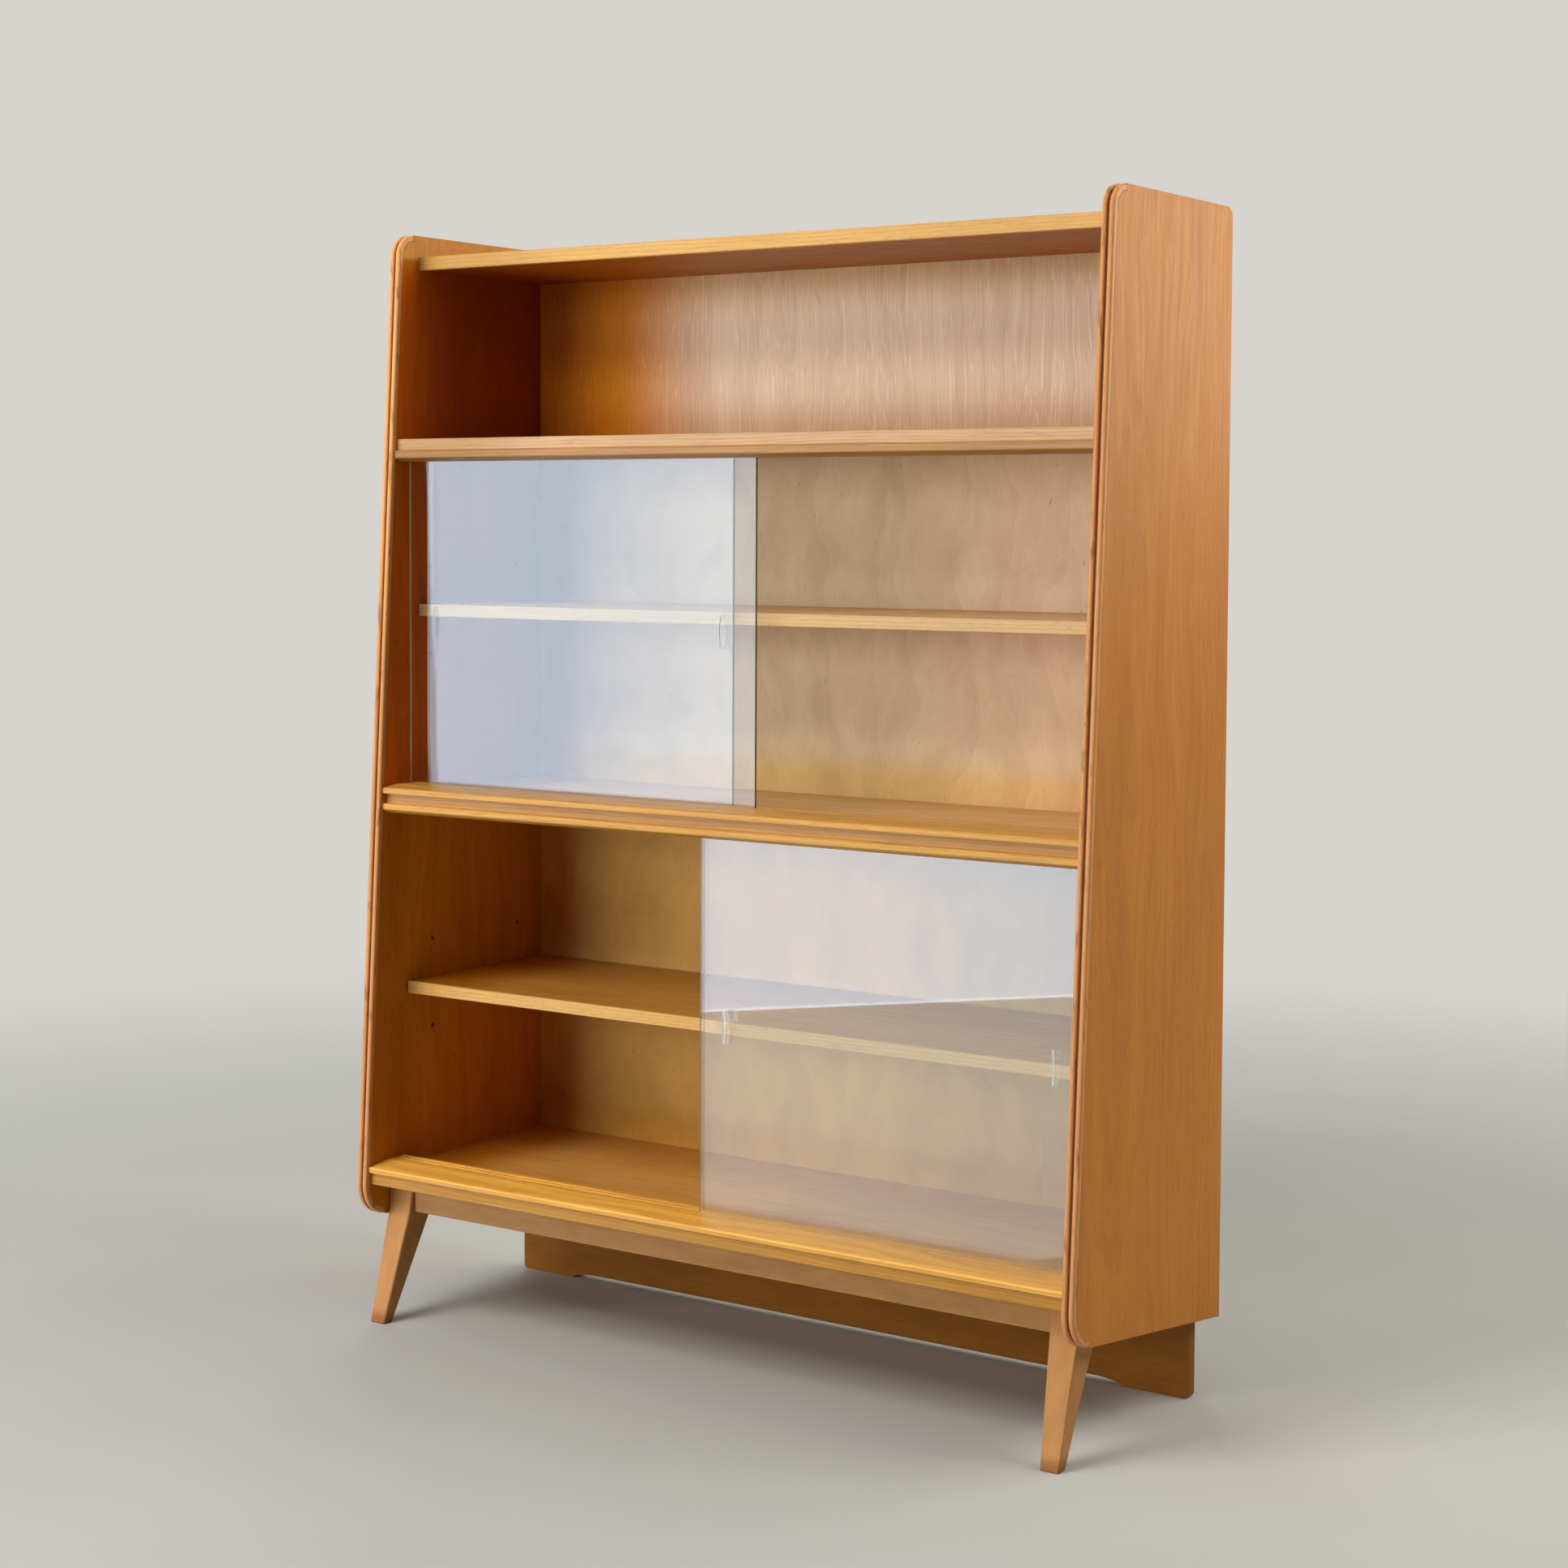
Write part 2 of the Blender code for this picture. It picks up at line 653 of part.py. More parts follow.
def front_apron():
    """The low board between the front legs."""
    front = BOTTOM_NOSE - APRON_BEHIND_NOSE
    model = bmesh.new()
    block(
        model,
        (-BETWEEN_LEGS_X, BETWEEN_LEGS_X),
        (front - APRON_THICKNESS, front),
        (-APRON_HEIGHT - GAP, -GAP),
    )
    add_object("front_apron", new_mesh("front_apron", model), BASE_WOOD, location=at_rear(UNDERSIDE))


def front_leg(name, side):
    """A leg that tapers down and splays forward under the side panel's front corner."""
    knee = UNDERSIDE - APRON_HEIGHT
    taper = (LEG_TOP_WIDTH - LEG_FOOT_WIDTH - LEG_FOOT_OUT) / UNDERSIDE
    levels = (
        (0, -LEG_FOOT_AHEAD_OF_NOSE, LEG_FOOT_DEPTH),
        (knee, LEG_KNEE_BEHIND_NOSE, LEG_KNEE_DEPTH),
        (UNDERSIDE - GAP, LEG_TOP_BEHIND_NOSE, LEG_TOP_DEPTH),
    )
    rings = []
    for height, behind_nose, thickness in levels:
        front = BOTTOM_NOSE - behind_nose
        back = front - thickness
        outer = side * (PIECE_X - LEG_FOOT_OUT * (1 - height / UNDERSIDE))
        inner = side * (PIECE_X - LEG_FOOT_OUT - LEG_FOOT_WIDTH - taper * height)
        rings.append([(outer, -back, height), (outer, -front, height), (inner, -front, height), (inner, -back, height)])
    model = bmesh.new()
    loft(model, rings)
    leg = add_object(name, new_mesh(name, model), BASE_WOOD, location=at_rear())
    bevel = leg.modifiers.new("Worn edges", "BEVEL")
    bevel.width = LEG_BEVEL
    bevel.segments = 1


def rear_base_board():
    """A full-width board on the floor, with a long, low cut-out."""
    foot_in = PIECE_X - CUTOUT_INSET
    runout = []
    for i in range(RUNOUT_STEPS + 1):
        turn = math.pi / 2 * i / RUNOUT_STEPS
        runout.append((foot_in - CUTOUT_RUNOUT * (1 - math.cos(turn)), CUTOUT_RISE * math.sin(turn)))
    top = UNDERSIDE - GAP
    radius = BASE_CORNER_RADIUS
    corner = [tuple(p) for p in arc(Vector((PIECE_X - radius, radius)), radius, 0, -math.pi / 2)]
    right = [(PIECE_X, top), *corner, *runout]
    outline = right + [(-x, height) for x, height in reversed(right)]
    model = bmesh.new()
    depths = (BASE_FRONT - BASE_THICKNESS, BASE_FRONT)
    loft(model, [[(x, -depth, height) for x, height in outline] for depth in depths])
    add_object("rear_base_board", new_mesh("rear_base_board", model), BASE_WOOD, location=at_rear())


def glue_blocks():
    """Blocks in the corners behind the front legs and in front of the rear base board."""
    for side_name, side in SIDES.items():
        apron_back = BOTTOM_NOSE - APRON_BEHIND_NOSE - APRON_THICKNESS
        corners = {
            "front": (BETWEEN_LEGS_X, apron_back - GAP - BLOCK_SIZE),
            "rear": (PIECE_X, BASE_FRONT + GAP),
        }
        for place, (outer, back) in corners.items():
            name = f"{place}_glue_block_{side_name}"
            model = bmesh.new()
            xs = (side * (outer - BLOCK_SIZE), side * outer)
            block(model, xs, (back, back + BLOCK_SIZE), (-BLOCK_HEIGHT - GAP, -GAP))
            add_object(name, new_mesh(name, model), BEECH, 0.7, location=at_rear(UNDERSIDE))


def build():
    """The whole bookcase in an empty scene."""
    for old in list(bpy.data.objects):
        bpy.data.objects.remove(old, do_unlink=True)
    for side_name, side in SIDES.items():
        side_panel(f"{side_name}_side_panel", side)
        side_lipping(f"{side_name}_side_lipping", side)
        front_leg(f"{side_name}_front_leg", side)
    top_front, fixed_front, middle_front, bottom_front = (front for _, _, front in board_ends())
    board("top_board", TOP_LEVEL, TOP_THICKNESS, top_front, VENEER)
    board("fixed_shelf_board", FIXED_LEVEL, BOARD_THICKNESS, fixed_front, VENEER)
    board("middle_board", MIDDLE_LEVEL, BOARD_THICKNESS, middle_front, VENEER)
    board("bottom_board", BOTTOM_LEVEL, BOARD_THICKNESS, bottom_front, VENEER)
    lipping = (TOP_BOARD_DEPTH, BOARD_LIPPING, PIECE_X)
    straight_lipping("top_board_lipping", TOP_LEVEL, TOP_THICKNESS, *lipping, BOARD_EDGE_RADIUS)
    fixed_shelf_rail()
    middle_rail()
    bottom_rail()
    dowels()
    back_panels()
    panes()
    for bay in (UPPER, LOWER):
        adjustable_shelf(bay)
        shelf_pins(bay)
    front_apron()
    rear_base_board()
    glue_blocks()


build()
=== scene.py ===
"""Free-standing bookcase with two bays of sliding glass: finishes, back screws, studio and camera."""

import math
from typing import NamedTuple

import bmesh
import bpy
from bpy.props import FloatProperty, FloatVectorProperty, IntProperty, PointerProperty
from mathutils import Matrix, Quaternion, Vector


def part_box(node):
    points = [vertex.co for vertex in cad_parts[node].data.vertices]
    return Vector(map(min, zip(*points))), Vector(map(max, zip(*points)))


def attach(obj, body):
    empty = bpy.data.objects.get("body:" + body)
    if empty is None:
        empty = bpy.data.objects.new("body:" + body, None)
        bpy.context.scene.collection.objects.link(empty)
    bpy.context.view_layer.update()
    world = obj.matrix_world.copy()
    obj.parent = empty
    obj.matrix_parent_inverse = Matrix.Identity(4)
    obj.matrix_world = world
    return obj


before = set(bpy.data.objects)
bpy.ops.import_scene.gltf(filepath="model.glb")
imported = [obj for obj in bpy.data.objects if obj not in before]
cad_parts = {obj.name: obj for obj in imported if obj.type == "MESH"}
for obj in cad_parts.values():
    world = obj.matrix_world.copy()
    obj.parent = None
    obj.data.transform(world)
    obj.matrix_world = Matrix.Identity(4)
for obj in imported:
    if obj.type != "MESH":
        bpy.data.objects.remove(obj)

bl_info = {
    "name": "Bookcase with sliding glass",
    "version": (1, 0, 0),
    "blender": (4, 5, 0),
    "location": "View3D > Sidebar > Bookcase",
    "description": "Finishes, fixings and studio for a bookcase with two bays of sliding glass",
    "category": "Object",
}

for startup_object in ("Cube", "Light", "Camera"):
    if startup_object in bpy.data.objects:
        bpy.data.objects.remove(bpy.data.objects[startup_object])
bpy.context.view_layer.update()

CARCASS = "carcass"
MM = 1000.0  # textures are laid out in millimetres, the frame is in metres
WAVE_MM = 0.314159  # a Wave texture of scale WAVE_MM / s repeats every s millimetres
UPRIGHT = (0.0, 0.0, 0.0)  # grain along Z, the textures' own direction
LENGTHWISE = (0.0, math.radians(90), 0.0)  # grain along X, from side to side
FAR = 9999.0  # past the bookcase on any side, in millimetres
LEAF_JUMP = (0.0, 120.0, 900.0)  # the most by which two leaves of a veneer lie apart in the log
PULL_SIDE, PULL_REACH = 0.0065, 0.0215  # metres from the middle of a finger pull to its side and its ends
STROKE_WIDTH = 1.2  # the white side of a finger pull, in millimetres
FROST_SHARE = 0.7  # how much of the clear glass the ground places hide
GRIT_SIZE = 2.0  # the wheel's marks on ground glass in millimetres, drawn coarser than the real ones
TARNISH_SIZE = 3.0  # clouds of tarnish on the brass, in millimetres
CLOUD_SIZE = 420.0  # clouds in the floor, in millimetres
GLASS_IOR = 1.52
LET_THROUGH = 0.96  # of the lamplight, at each surface of a pane

# Tones of a wood's layers: how bright each is beside the wood's own colour, and how warm
TONES = {
    "ground": (1.08, 0.97),
    "fibre": (0.82, 1.12),
    "cloud": (0.80, 1.15),
    "ring": (0.58, 1.35),
    "pore": (0.34, 1.6),
    "leaf": (0.74, 1.1),
    "thread": (1.35, 0.85),
    "stain": (0.32, 1.5),
    "core": (0.78, 1.05),
}
NEAR = 0.3  # a tone that ends this many millimetres past a face covers the whole face

# Light: which way the mirrored wall and floor face, and what the lamps aim at
WALL_FACING = (0.754, 0.657, 0.0)
UPWARD = (0.0, 0.0, 1.0)
MIDDLE, LOW, REAR, FOOT = (0.0, 0.0, 0.85), (0.0, 0.0, 0.7), (0.0, 0.0, 0.8), (0.0, 0.0, 0.0)
RIGHT_SIDE = (0.56, 0.0, 1.2)
WHITE_LAMP = 4.0  # watts a square metre at which a lamp looks as bright as white

# The photograph's viewpoint, fitted to the bookcase
VIEWPOINT = (2.0386, -3.0225, 1.1121)
YAW, PITCH, ROLL = 0.59991, 0.0518, -0.00392
LENS_SHIFT = (0.0186, -0.075)

# Floor, in metres
FLOOR_RADIUS = 14.0
FLOOR_FADE = (1.1, 3.6)  # between these distances the floor fades into the backdrop

# Back screws
SCREW_INSET = 0.03  # from the end of a back panel to its first screw
SLOT_TURN = 2.4  # radians from one screw's slot to the next, so that no two stand the same way
SLOT_SHARE = 0.16  # half the slot's width, as a share of the head's radius
SLOT_FLOOR = 0.3  # what the slot leaves of the head's rise
HEAD_FALL = 0.85  # how far the head falls from its middle to its rim, as a share of its rise
HEAD_COLUMNS = (-0.98, -0.8, -0.5)  # from the rim towards the slot, as shares of the radius
HEAD_ROWS = (-1.0, -0.85, -0.5, 0.0, 0.5, 0.85, 1.0)  # along a column, as shares of its half length
SHARP_ANGLE = math.radians(40)  # edges of a head that are sharper than this stay sharp


def foot_of(node):
    """The level of a CAD node's foot, in millimetres."""
    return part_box(node)[0][2] * MM


def top_of(node):
    """The level of a CAD node's top, in millimetres."""
    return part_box(node)[1][2] * MM


# Planes of the bookcase in millimetres, from the frame: the bays' ceilings and floors, and how far the
# sides' inner faces lie from the middle
OPEN_BAY_TOP, OPEN_BAY_FLOOR = foot_of("top_board"), top_of("fixed_shelf_board")
UPPER_BAY_FLOOR = top_of("middle_board")
LOWER_BAY_TOP, LOWER_BAY_FLOOR = foot_of("middle_board"), top_of("bottom_board")
SIDE_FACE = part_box("right_side_panel")[0][0] * MM


def linear(colour):
    """The linear red, green, blue and alpha of an sRGB hex colour."""
    parts = [int(colour[i : i + 2], 16) / 255 for i in (1, 3, 5)]
    return tuple(c / 12.92 if c <= 0.04045 else ((c + 0.055) / 1.055) ** 2.4 for c in parts) + (1.0,)


def add(tree, kind, inputs=None, **settings):
    """Adds a node: settings are its own options, and each input gets a value or a link from a socket.

    A Mix node of colours has its factor at input 0, its colours at 6 and 7 and its result at output 2.
    """
    made = tree.nodes.new(kind)
    for name, value in settings.items():
        setattr(made, name, value)
    for name, value in (inputs or {}).items():
        if isinstance(value, bpy.types.NodeSocket):
            tree.links.new(value, made.inputs[name])
        else:
            made.inputs[name].default_value = value
    return made


# Settings


def colour_setting(name, description, colour):
    """A colour that a user may change, with its default as an sRGB hex value."""
    return FloatVectorProperty(
        name=name, description=description, subtype="COLOR", size=4, min=0.0, max=1.0,
        default=linear(colour),
    )


def length_setting(name, description, default, least, most):
    """A length that a user may change, in metres."""
    return FloatProperty(
        name=name, description=description, default=default, min=least, max=most, unit="LENGTH"
    )


def brightness_setting(name, description, default, most=20.0):
    """A brightness that a user may change, where 1 is white."""
    return FloatProperty(name=name, description=description, default=default, min=0.0, max=most)


class BookcaseTimber(bpy.types.PropertyGroup):
    """Colours of the woods under their lacquer, some of them darkened as painted shade."""

    side_veneer: colour_setting("Side veneer", "Oak veneer of the two side panels", "#C57D2A")
    boards: colour_setting("Upper boards", "Paler oak veneer round the upper bay", "#DAB075")
    # a more golden copy of the upper boards' colour, painted shade, for the top and bottom boards
    boards_in_painted_shade: colour_setting("Outer boards", "Golden veneer of the top and bottom boards", "#D89F50")
    # a darker copy again, painted shade of the lower bay's shelf
    lower_shelf_in_painted_shade: colour_setting("Lower shelf", "Deeper oak veneer of the lower bay's shelf", "#BE8638")
    back_veneer: colour_setting("Open bay back", "Pinkish veneer behind the open bay", "#E6D3BF")
    plywood: colour_setting("Glazed bay backs", "Birch plywood behind the two glazed bays", "#F0DABB")
    lipping: colour_setting("Side lipping", "Solid beads along the sides' front edges", "#D79656")
    top_lipping: colour_setting("Top lipping", "Lipping of the top board and lower shelf", "#D4A55A")
    upper_shelf_lipping: colour_setting("Shelf lipping", "Paler lipping of the upper shelf", "#CEA975")
    fixed_rail: colour_setting("Fixed shelf rail", "Pale rail under the open bay", "#C69E70")
    glazed_rail: colour_setting("Bay rails", "Honey-coloured rails of the glazed bays", "#DDA449")
    apron: colour_setting("Apron", "Greyish stained beech between the front legs", "#B28550")
    legs: colour_setting("Legs", "Stained beech of the front legs", "#BE8951")
    # stained beech, darkened further as painted shade under the bookcase
    base_board: colour_setting("Base board", "Stained beech of the rear base board", "#89560F")
    beech: colour_setting("Beech", "Dowels and glue blocks", "#D3B08A")


class BookcaseFittings(bpy.types.PropertyGroup):
    """Sizes of the small fixings and of the softened edges, and colours of the glass and the brass."""

    screw_head: length_setting("Screw head", "Diameter of a back screw's head", 0.0052, 0.002, 0.01)
    screw_rise: length_setting(
        "Head rise", "How far a screw head stands out of the back panel", 0.0009, 0.0002, 0.003
    )
    edge: length_setting("Edge rounding", "How far the wood's edges are rounded", 0.0012, 0.0, 0.005)
    screws_per_row: IntProperty(
        name="Screws in a row", description="Screws along one board of the back",
        default=7, min=2, max=15,
    )
    glass_tint: colour_setting("Glass tint", "Colour of daylight through one pane", "#FAFCFB")
    glass_edge: colour_setting("Glass edge", "Colour of the ground edges of a pane", "#7FB7A6")
    brass: colour_setting("Brass", "Shelf pins and back screws", "#B08D57")


class BookcaseStudio(bpy.types.PropertyGroup):
    """Floor, backdrop, light and camera."""

    floor: colour_setting("Floor", "Pale floor", "#BFC2C1")
    backdrop: colour_setting("Backdrop", "Plain background", "#D6D4CF")
    ambient: brightness_setting("Ambient light", "Light from all round", 0.05, 2.0)
    mirrored_wall: brightness_setting("Mirrored wall", "Wall that the panes mirror", 2.5, 10.0)
    mirrored_floor: brightness_setting("Mirrored floor", "Floor that the panes mirror", 1.0, 10.0)
    front: brightness_setting("Front light", "Large light at the front left", 7.6)
    front_high: brightness_setting("High front light", "Light on the shelves' tops", 8.2)
    right: brightness_setting("Right light", "Light on the right side", 4.0)
    sheen: brightness_setting("Sheen light", "Light that the right side mirrors softly", 3.4)
    overhead: brightness_setting("Overhead light", "Light above", 0.36)
    rear: brightness_setting("Rear light", "Light on the back", 2.0)
    lens: FloatProperty(
        name="Lens", description="Focal length on a 36 mm frame, in mm",
        default=63.357, min=10.0, max=300.0,
    )


class BookcaseSettings(bpy.types.PropertyGroup):
    """All settings of the bookcase."""

    timber: PointerProperty(type=BookcaseTimber)
    fittings: PointerProperty(type=BookcaseFittings)
    studio: PointerProperty(type=BookcaseStudio)


# Materials


class Grain(NamedTuple):
    """How a wood was cut. Lengths are in millimetres across and along the grain."""

    direction: tuple = UPRIGHT
    pith: tuple = (260.0, 90.0, 0.0)  # from the tree's centre line to the frame's origin
    ring: float = 2.6  # width of one growth ring
    ring_strength: float = 0.35
    wander: float = 26.0  # how far the rings stray from straight
    wander_size: tuple = (110.0, 620.0)
    fibre: tuple = (1.6, 90.0)
    fibre_strength: float = 0.5
    pore: tuple = (1.1, 16.0)
    pore_strength: float = 0.35
    cloud: tuple = (55.0, 190.0)
    cloud_strength: float = 0.3
    leaf: float = 0.0  # width of a veneer leaf, 0 for solid wood
    leaf_strength: float = 0.25
    roughness: tuple = (0.38, 0.50)
    shine: float = 0.3
    relief: float = 0.12
    thread: tuple = (3.2, 420.0)  # pale threads
    thread_strength: float = 0.0
    stain: tuple = (16.0, 34.0)  # dark blotches from handling
    stain_strength: float = 0.0
    stain_from: float = 0.60  # higher for fewer stains
    tints: tuple = ()  # places of another tone: a multiplier, then the zones that share the place
    core: bool = False  # the panel's edges show its darker core


def shade(colour, factor, warmth=1.0):
    """A darker or lighter tone of a colour. warmth above 1 takes more out of the blue."""
    return (colour[0] * factor, colour[1] * factor / warmth**0.5, colour[2] * factor / warmth, 1.0)


class Zone(NamedTuple):
    """A part of the bookcase between two planes. Outside it fades out over the length soft.

    Lengths are in millimetres. The axis "OUT" is the distance from the middle.
    """

    axis: str
    low: float
    high: float
    soft: float


def near_left(reach, soft):
    """The zone within a reach of the left side's inner face."""
    return Zone("X", -FAR, reach - SIDE_FACE, soft)


def behind(plane, soft):
    """The zone behind a plane."""
    return Zone("Y", plane, FAR, soft)


def above(level, soft):
    """The zone above a level."""
    return Zone("Z", level, FAR, soft)


def below(level, soft):
    """The zone from the floor to a level."""
    return Zone("Z", 0.0, level, soft)


def inside_of(tree, coordinates, zone):
    """1 inside a zone and 0 outside it."""
    axis, low, high, soft = zone
    places = add(tree, "ShaderNodeSeparateXYZ", {"Vector": coordinates}).outputs
    place = places["X" if axis == "OUT" else axis]
    if axis == "OUT":
        place = add(tree, "ShaderNodeMath", {0: place}, operation="ABSOLUTE").outputs[0]
    rising, falling = (
        add(
            tree, "ShaderNodeMapRange",
            {"Value": place, "From Min": outside / MM, "From Max": edge / MM},
            interpolation_type="SMOOTHSTEP",
        ).outputs["Result"]
        for outside, edge in ((low - soft, low), (high + soft, high))
    )
    return add(tree, "ShaderNodeMath", {0: rising, 1: falling}, operation="MULTIPLY").outputs[0]


def empty_material(name):
    """A new material without nodes, and its node tree."""
    material = bpy.data.materials.new(name)
    material.use_nodes = True
    material.node_tree.nodes.clear()
    return material, material.node_tree


def veneer_leaves(tree, place, width):
    """Coordinates that jump from one leaf of a veneer to the next, and each leaf's random number."""
    across = add(tree, "ShaderNodeSeparateXYZ", {"Vector": place}).outputs["X"]
    count = add(tree, "ShaderNodeMath", {0: across, 1: width}, operation="DIVIDE").outputs[0]
    number = add(tree, "ShaderNodeMath", {0: count}, operation="FLOOR").outputs[0]
    chance = add(tree, "ShaderNodeTexWhiteNoise", {"W": number}, noise_dimensions="1D").outputs
    moved = add(
        tree, "ShaderNodeVectorMath", {0: chance["Color"], 1: LEAF_JUMP, 2: place},
        operation="MULTIPLY_ADD",
    ).outputs["Vector"]
    return moved, chance["Value"]


def stretched(tree, place, size):
    """Coordinates in which a pattern's size, across and along the grain, measures 1."""
    across, along = size
    return add(
        tree, "ShaderNodeVectorMath", {0: place, 1: (1 / across, 1 / across, 1 / along)},
        operation="MULTIPLY",
    ).outputs["Vector"]


def growth_rings(tree, place, grain):
    """Coordinates that stray as the tree's rings do, and the dark late wood of each ring."""
    fitted = stretched(tree, place, grain.wander_size)
    stray = add(
        tree, "ShaderNodeTexNoise", {"Vector": fitted, "Scale": 1.0, "Detail": 2.0, "Roughness": 0.45}
    ).outputs["Color"]
    strayed = add(
        tree, "ShaderNodeVectorMath",
        {0: stray, 1: (grain.wander, grain.wander, 0.0), 2: place}, operation="MULTIPLY_ADD",
    ).outputs["Vector"]
    rings = add(
        tree, "ShaderNodeTexWave", {"Vector": strayed, "Scale": WAVE_MM / grain.ring},
        wave_type="RINGS", rings_direction="Z", wave_profile="SAW",
    ).outputs["Fac"]
    late_wood = add(
        tree, "ShaderNodeMapRange",
        {"Value": rings, "From Min": 0.35, "From Max": 1.0, "To Max": grain.ring_strength},
        interpolation_type="SMOOTHSTEP",
    ).outputs["Result"]
    return strayed, late_wood


def streaks(tree, place, size, strength, low, high, detail):
    """Streaks of a size across and along the grain, which fade in between two values of their noise."""
    fitted = stretched(tree, place, size)
    noise = add(
        tree, "ShaderNodeTexNoise",
        {"Vector": fitted, "Scale": 1.0, "Detail": detail, "Roughness": 0.55},
    ).outputs["Fac"]
    return add(
        tree, "ShaderNodeMapRange",
        {"Value": noise, "From Min": low, "From Max": high, "To Max": strength},
    ).outputs["Result"]


def wood(name, colour, grain):
    """A wood with growth rings, fibres, pores and clouds, and a veneer's leaves if their width is set."""
    material, tree = empty_material(name)
    coordinates = add(tree, "ShaderNodeTexCoord").outputs
    place = add(
        tree, "ShaderNodeMapping",
        {
            "Vector": coordinates["Object"], "Location": grain.pith, "Rotation": grain.direction,
            "Scale": (MM, MM, MM),
        },
    ).outputs["Vector"]
    if grain.leaf:
        place, leaf_tone = veneer_leaves(tree, place, grain.leaf)
    strayed, late_wood = growth_rings(tree, place, grain)
    fibres = streaks(tree, strayed, grain.fibre, grain.fibre_strength, low=0.32, high=0.68, detail=3.0)
    clouds = streaks(tree, strayed, grain.cloud, grain.cloud_strength, low=0.35, high=0.68, detail=2.0)
    pores = streaks(tree, strayed, grain.pore, grain.pore_strength, low=0.60, high=0.72, detail=1.0)
    # the layers lie over each other in this order
    layers = {"fibre": fibres, "cloud": clouds, "ring": late_wood, "pore": pores}
    if grain.leaf:
        layers["leaf"] = add(
            tree, "ShaderNodeMapRange", {"Value": leaf_tone, "To Max": grain.leaf_strength}
        ).outputs["Result"]
    layers["thread"] = streaks(
        tree, strayed, grain.thread, grain.thread_strength, low=0.56, high=0.70, detail=1.0
    )
    layers["stain"] = streaks(
        tree, strayed, grain.stain, grain.stain_strength,
        low=grain.stain_from, high=grain.stain_from + 0.08, detail=3.0,
    )
    tone = shade(colour, *TONES["ground"])
    for layer, amount in layers.items():
        over = shade(colour, *TONES[layer])
        tone = add(tree, "ShaderNodeMix", {0: amount, 6: tone, 7: over}, data_type="RGBA").outputs[2]
    for multiplier, *zones in grain.tints:
        amount = 1.0
        for zone in zones:
            inside = inside_of(tree, coordinates["Object"], zone)
            amount = add(tree, "ShaderNodeMath", {0: amount, 1: inside}, operation="MULTIPLY").outputs[0]
        tone = add(
            tree, "ShaderNodeMix", {0: amount, 6: tone, 7: (*multiplier, 1.0)},
            data_type="RGBA", blend_type="MULTIPLY",
        ).outputs[2]
    if grain.core:
        facing = add(tree, "ShaderNodeSeparateXYZ", {"Vector": coordinates["Normal"]}).outputs["X"]
        facing = add(tree, "ShaderNodeMath", {0: facing}, operation="ABSOLUTE").outputs[0]
        edge = add(
            tree, "ShaderNodeMapRange", {"Value": facing, "From Min": 0.8, "From Max": 0.5}
        ).outputs["Result"]
        core = shade(colour, *TONES["core"])
        tone = add(tree, "ShaderNodeMix", {0: edge, 6: tone, 7: core}, data_type="RGBA").outputs[2]
    smoothest, roughest = grain.roughness
    roughness = add(
        tree, "ShaderNodeMapRange",
        {"Value": fibres, "From Max": grain.fibre_strength, "To Min": smoothest, "To Max": roughest},
    ).outputs["Result"]
    height = add(tree, "ShaderNodeMath", {0: fibres, 1: pores}, operation="SUBTRACT").outputs[0]
    rounded = add(
        tree, "ShaderNodeBevel", {"Radius": bpy.context.scene.bookcase.fittings.edge}, samples=4
    ).outputs["Normal"]
    relief = add(
        tree, "ShaderNodeBump",
        {"Height": height, "Normal": rounded, "Strength": grain.relief, "Distance": 0.0004},
    ).outputs["Normal"]
    surface = add(
        tree, "ShaderNodeBsdfPrincipled",
        {
            "Base Color": tone, "Roughness": roughness, "Normal": relief, "IOR": 1.5,
            "Specular IOR Level": grain.shine,
        },
    )
    add(tree, "ShaderNodeOutputMaterial", {"Surface": surface.outputs["BSDF"]})
    return material


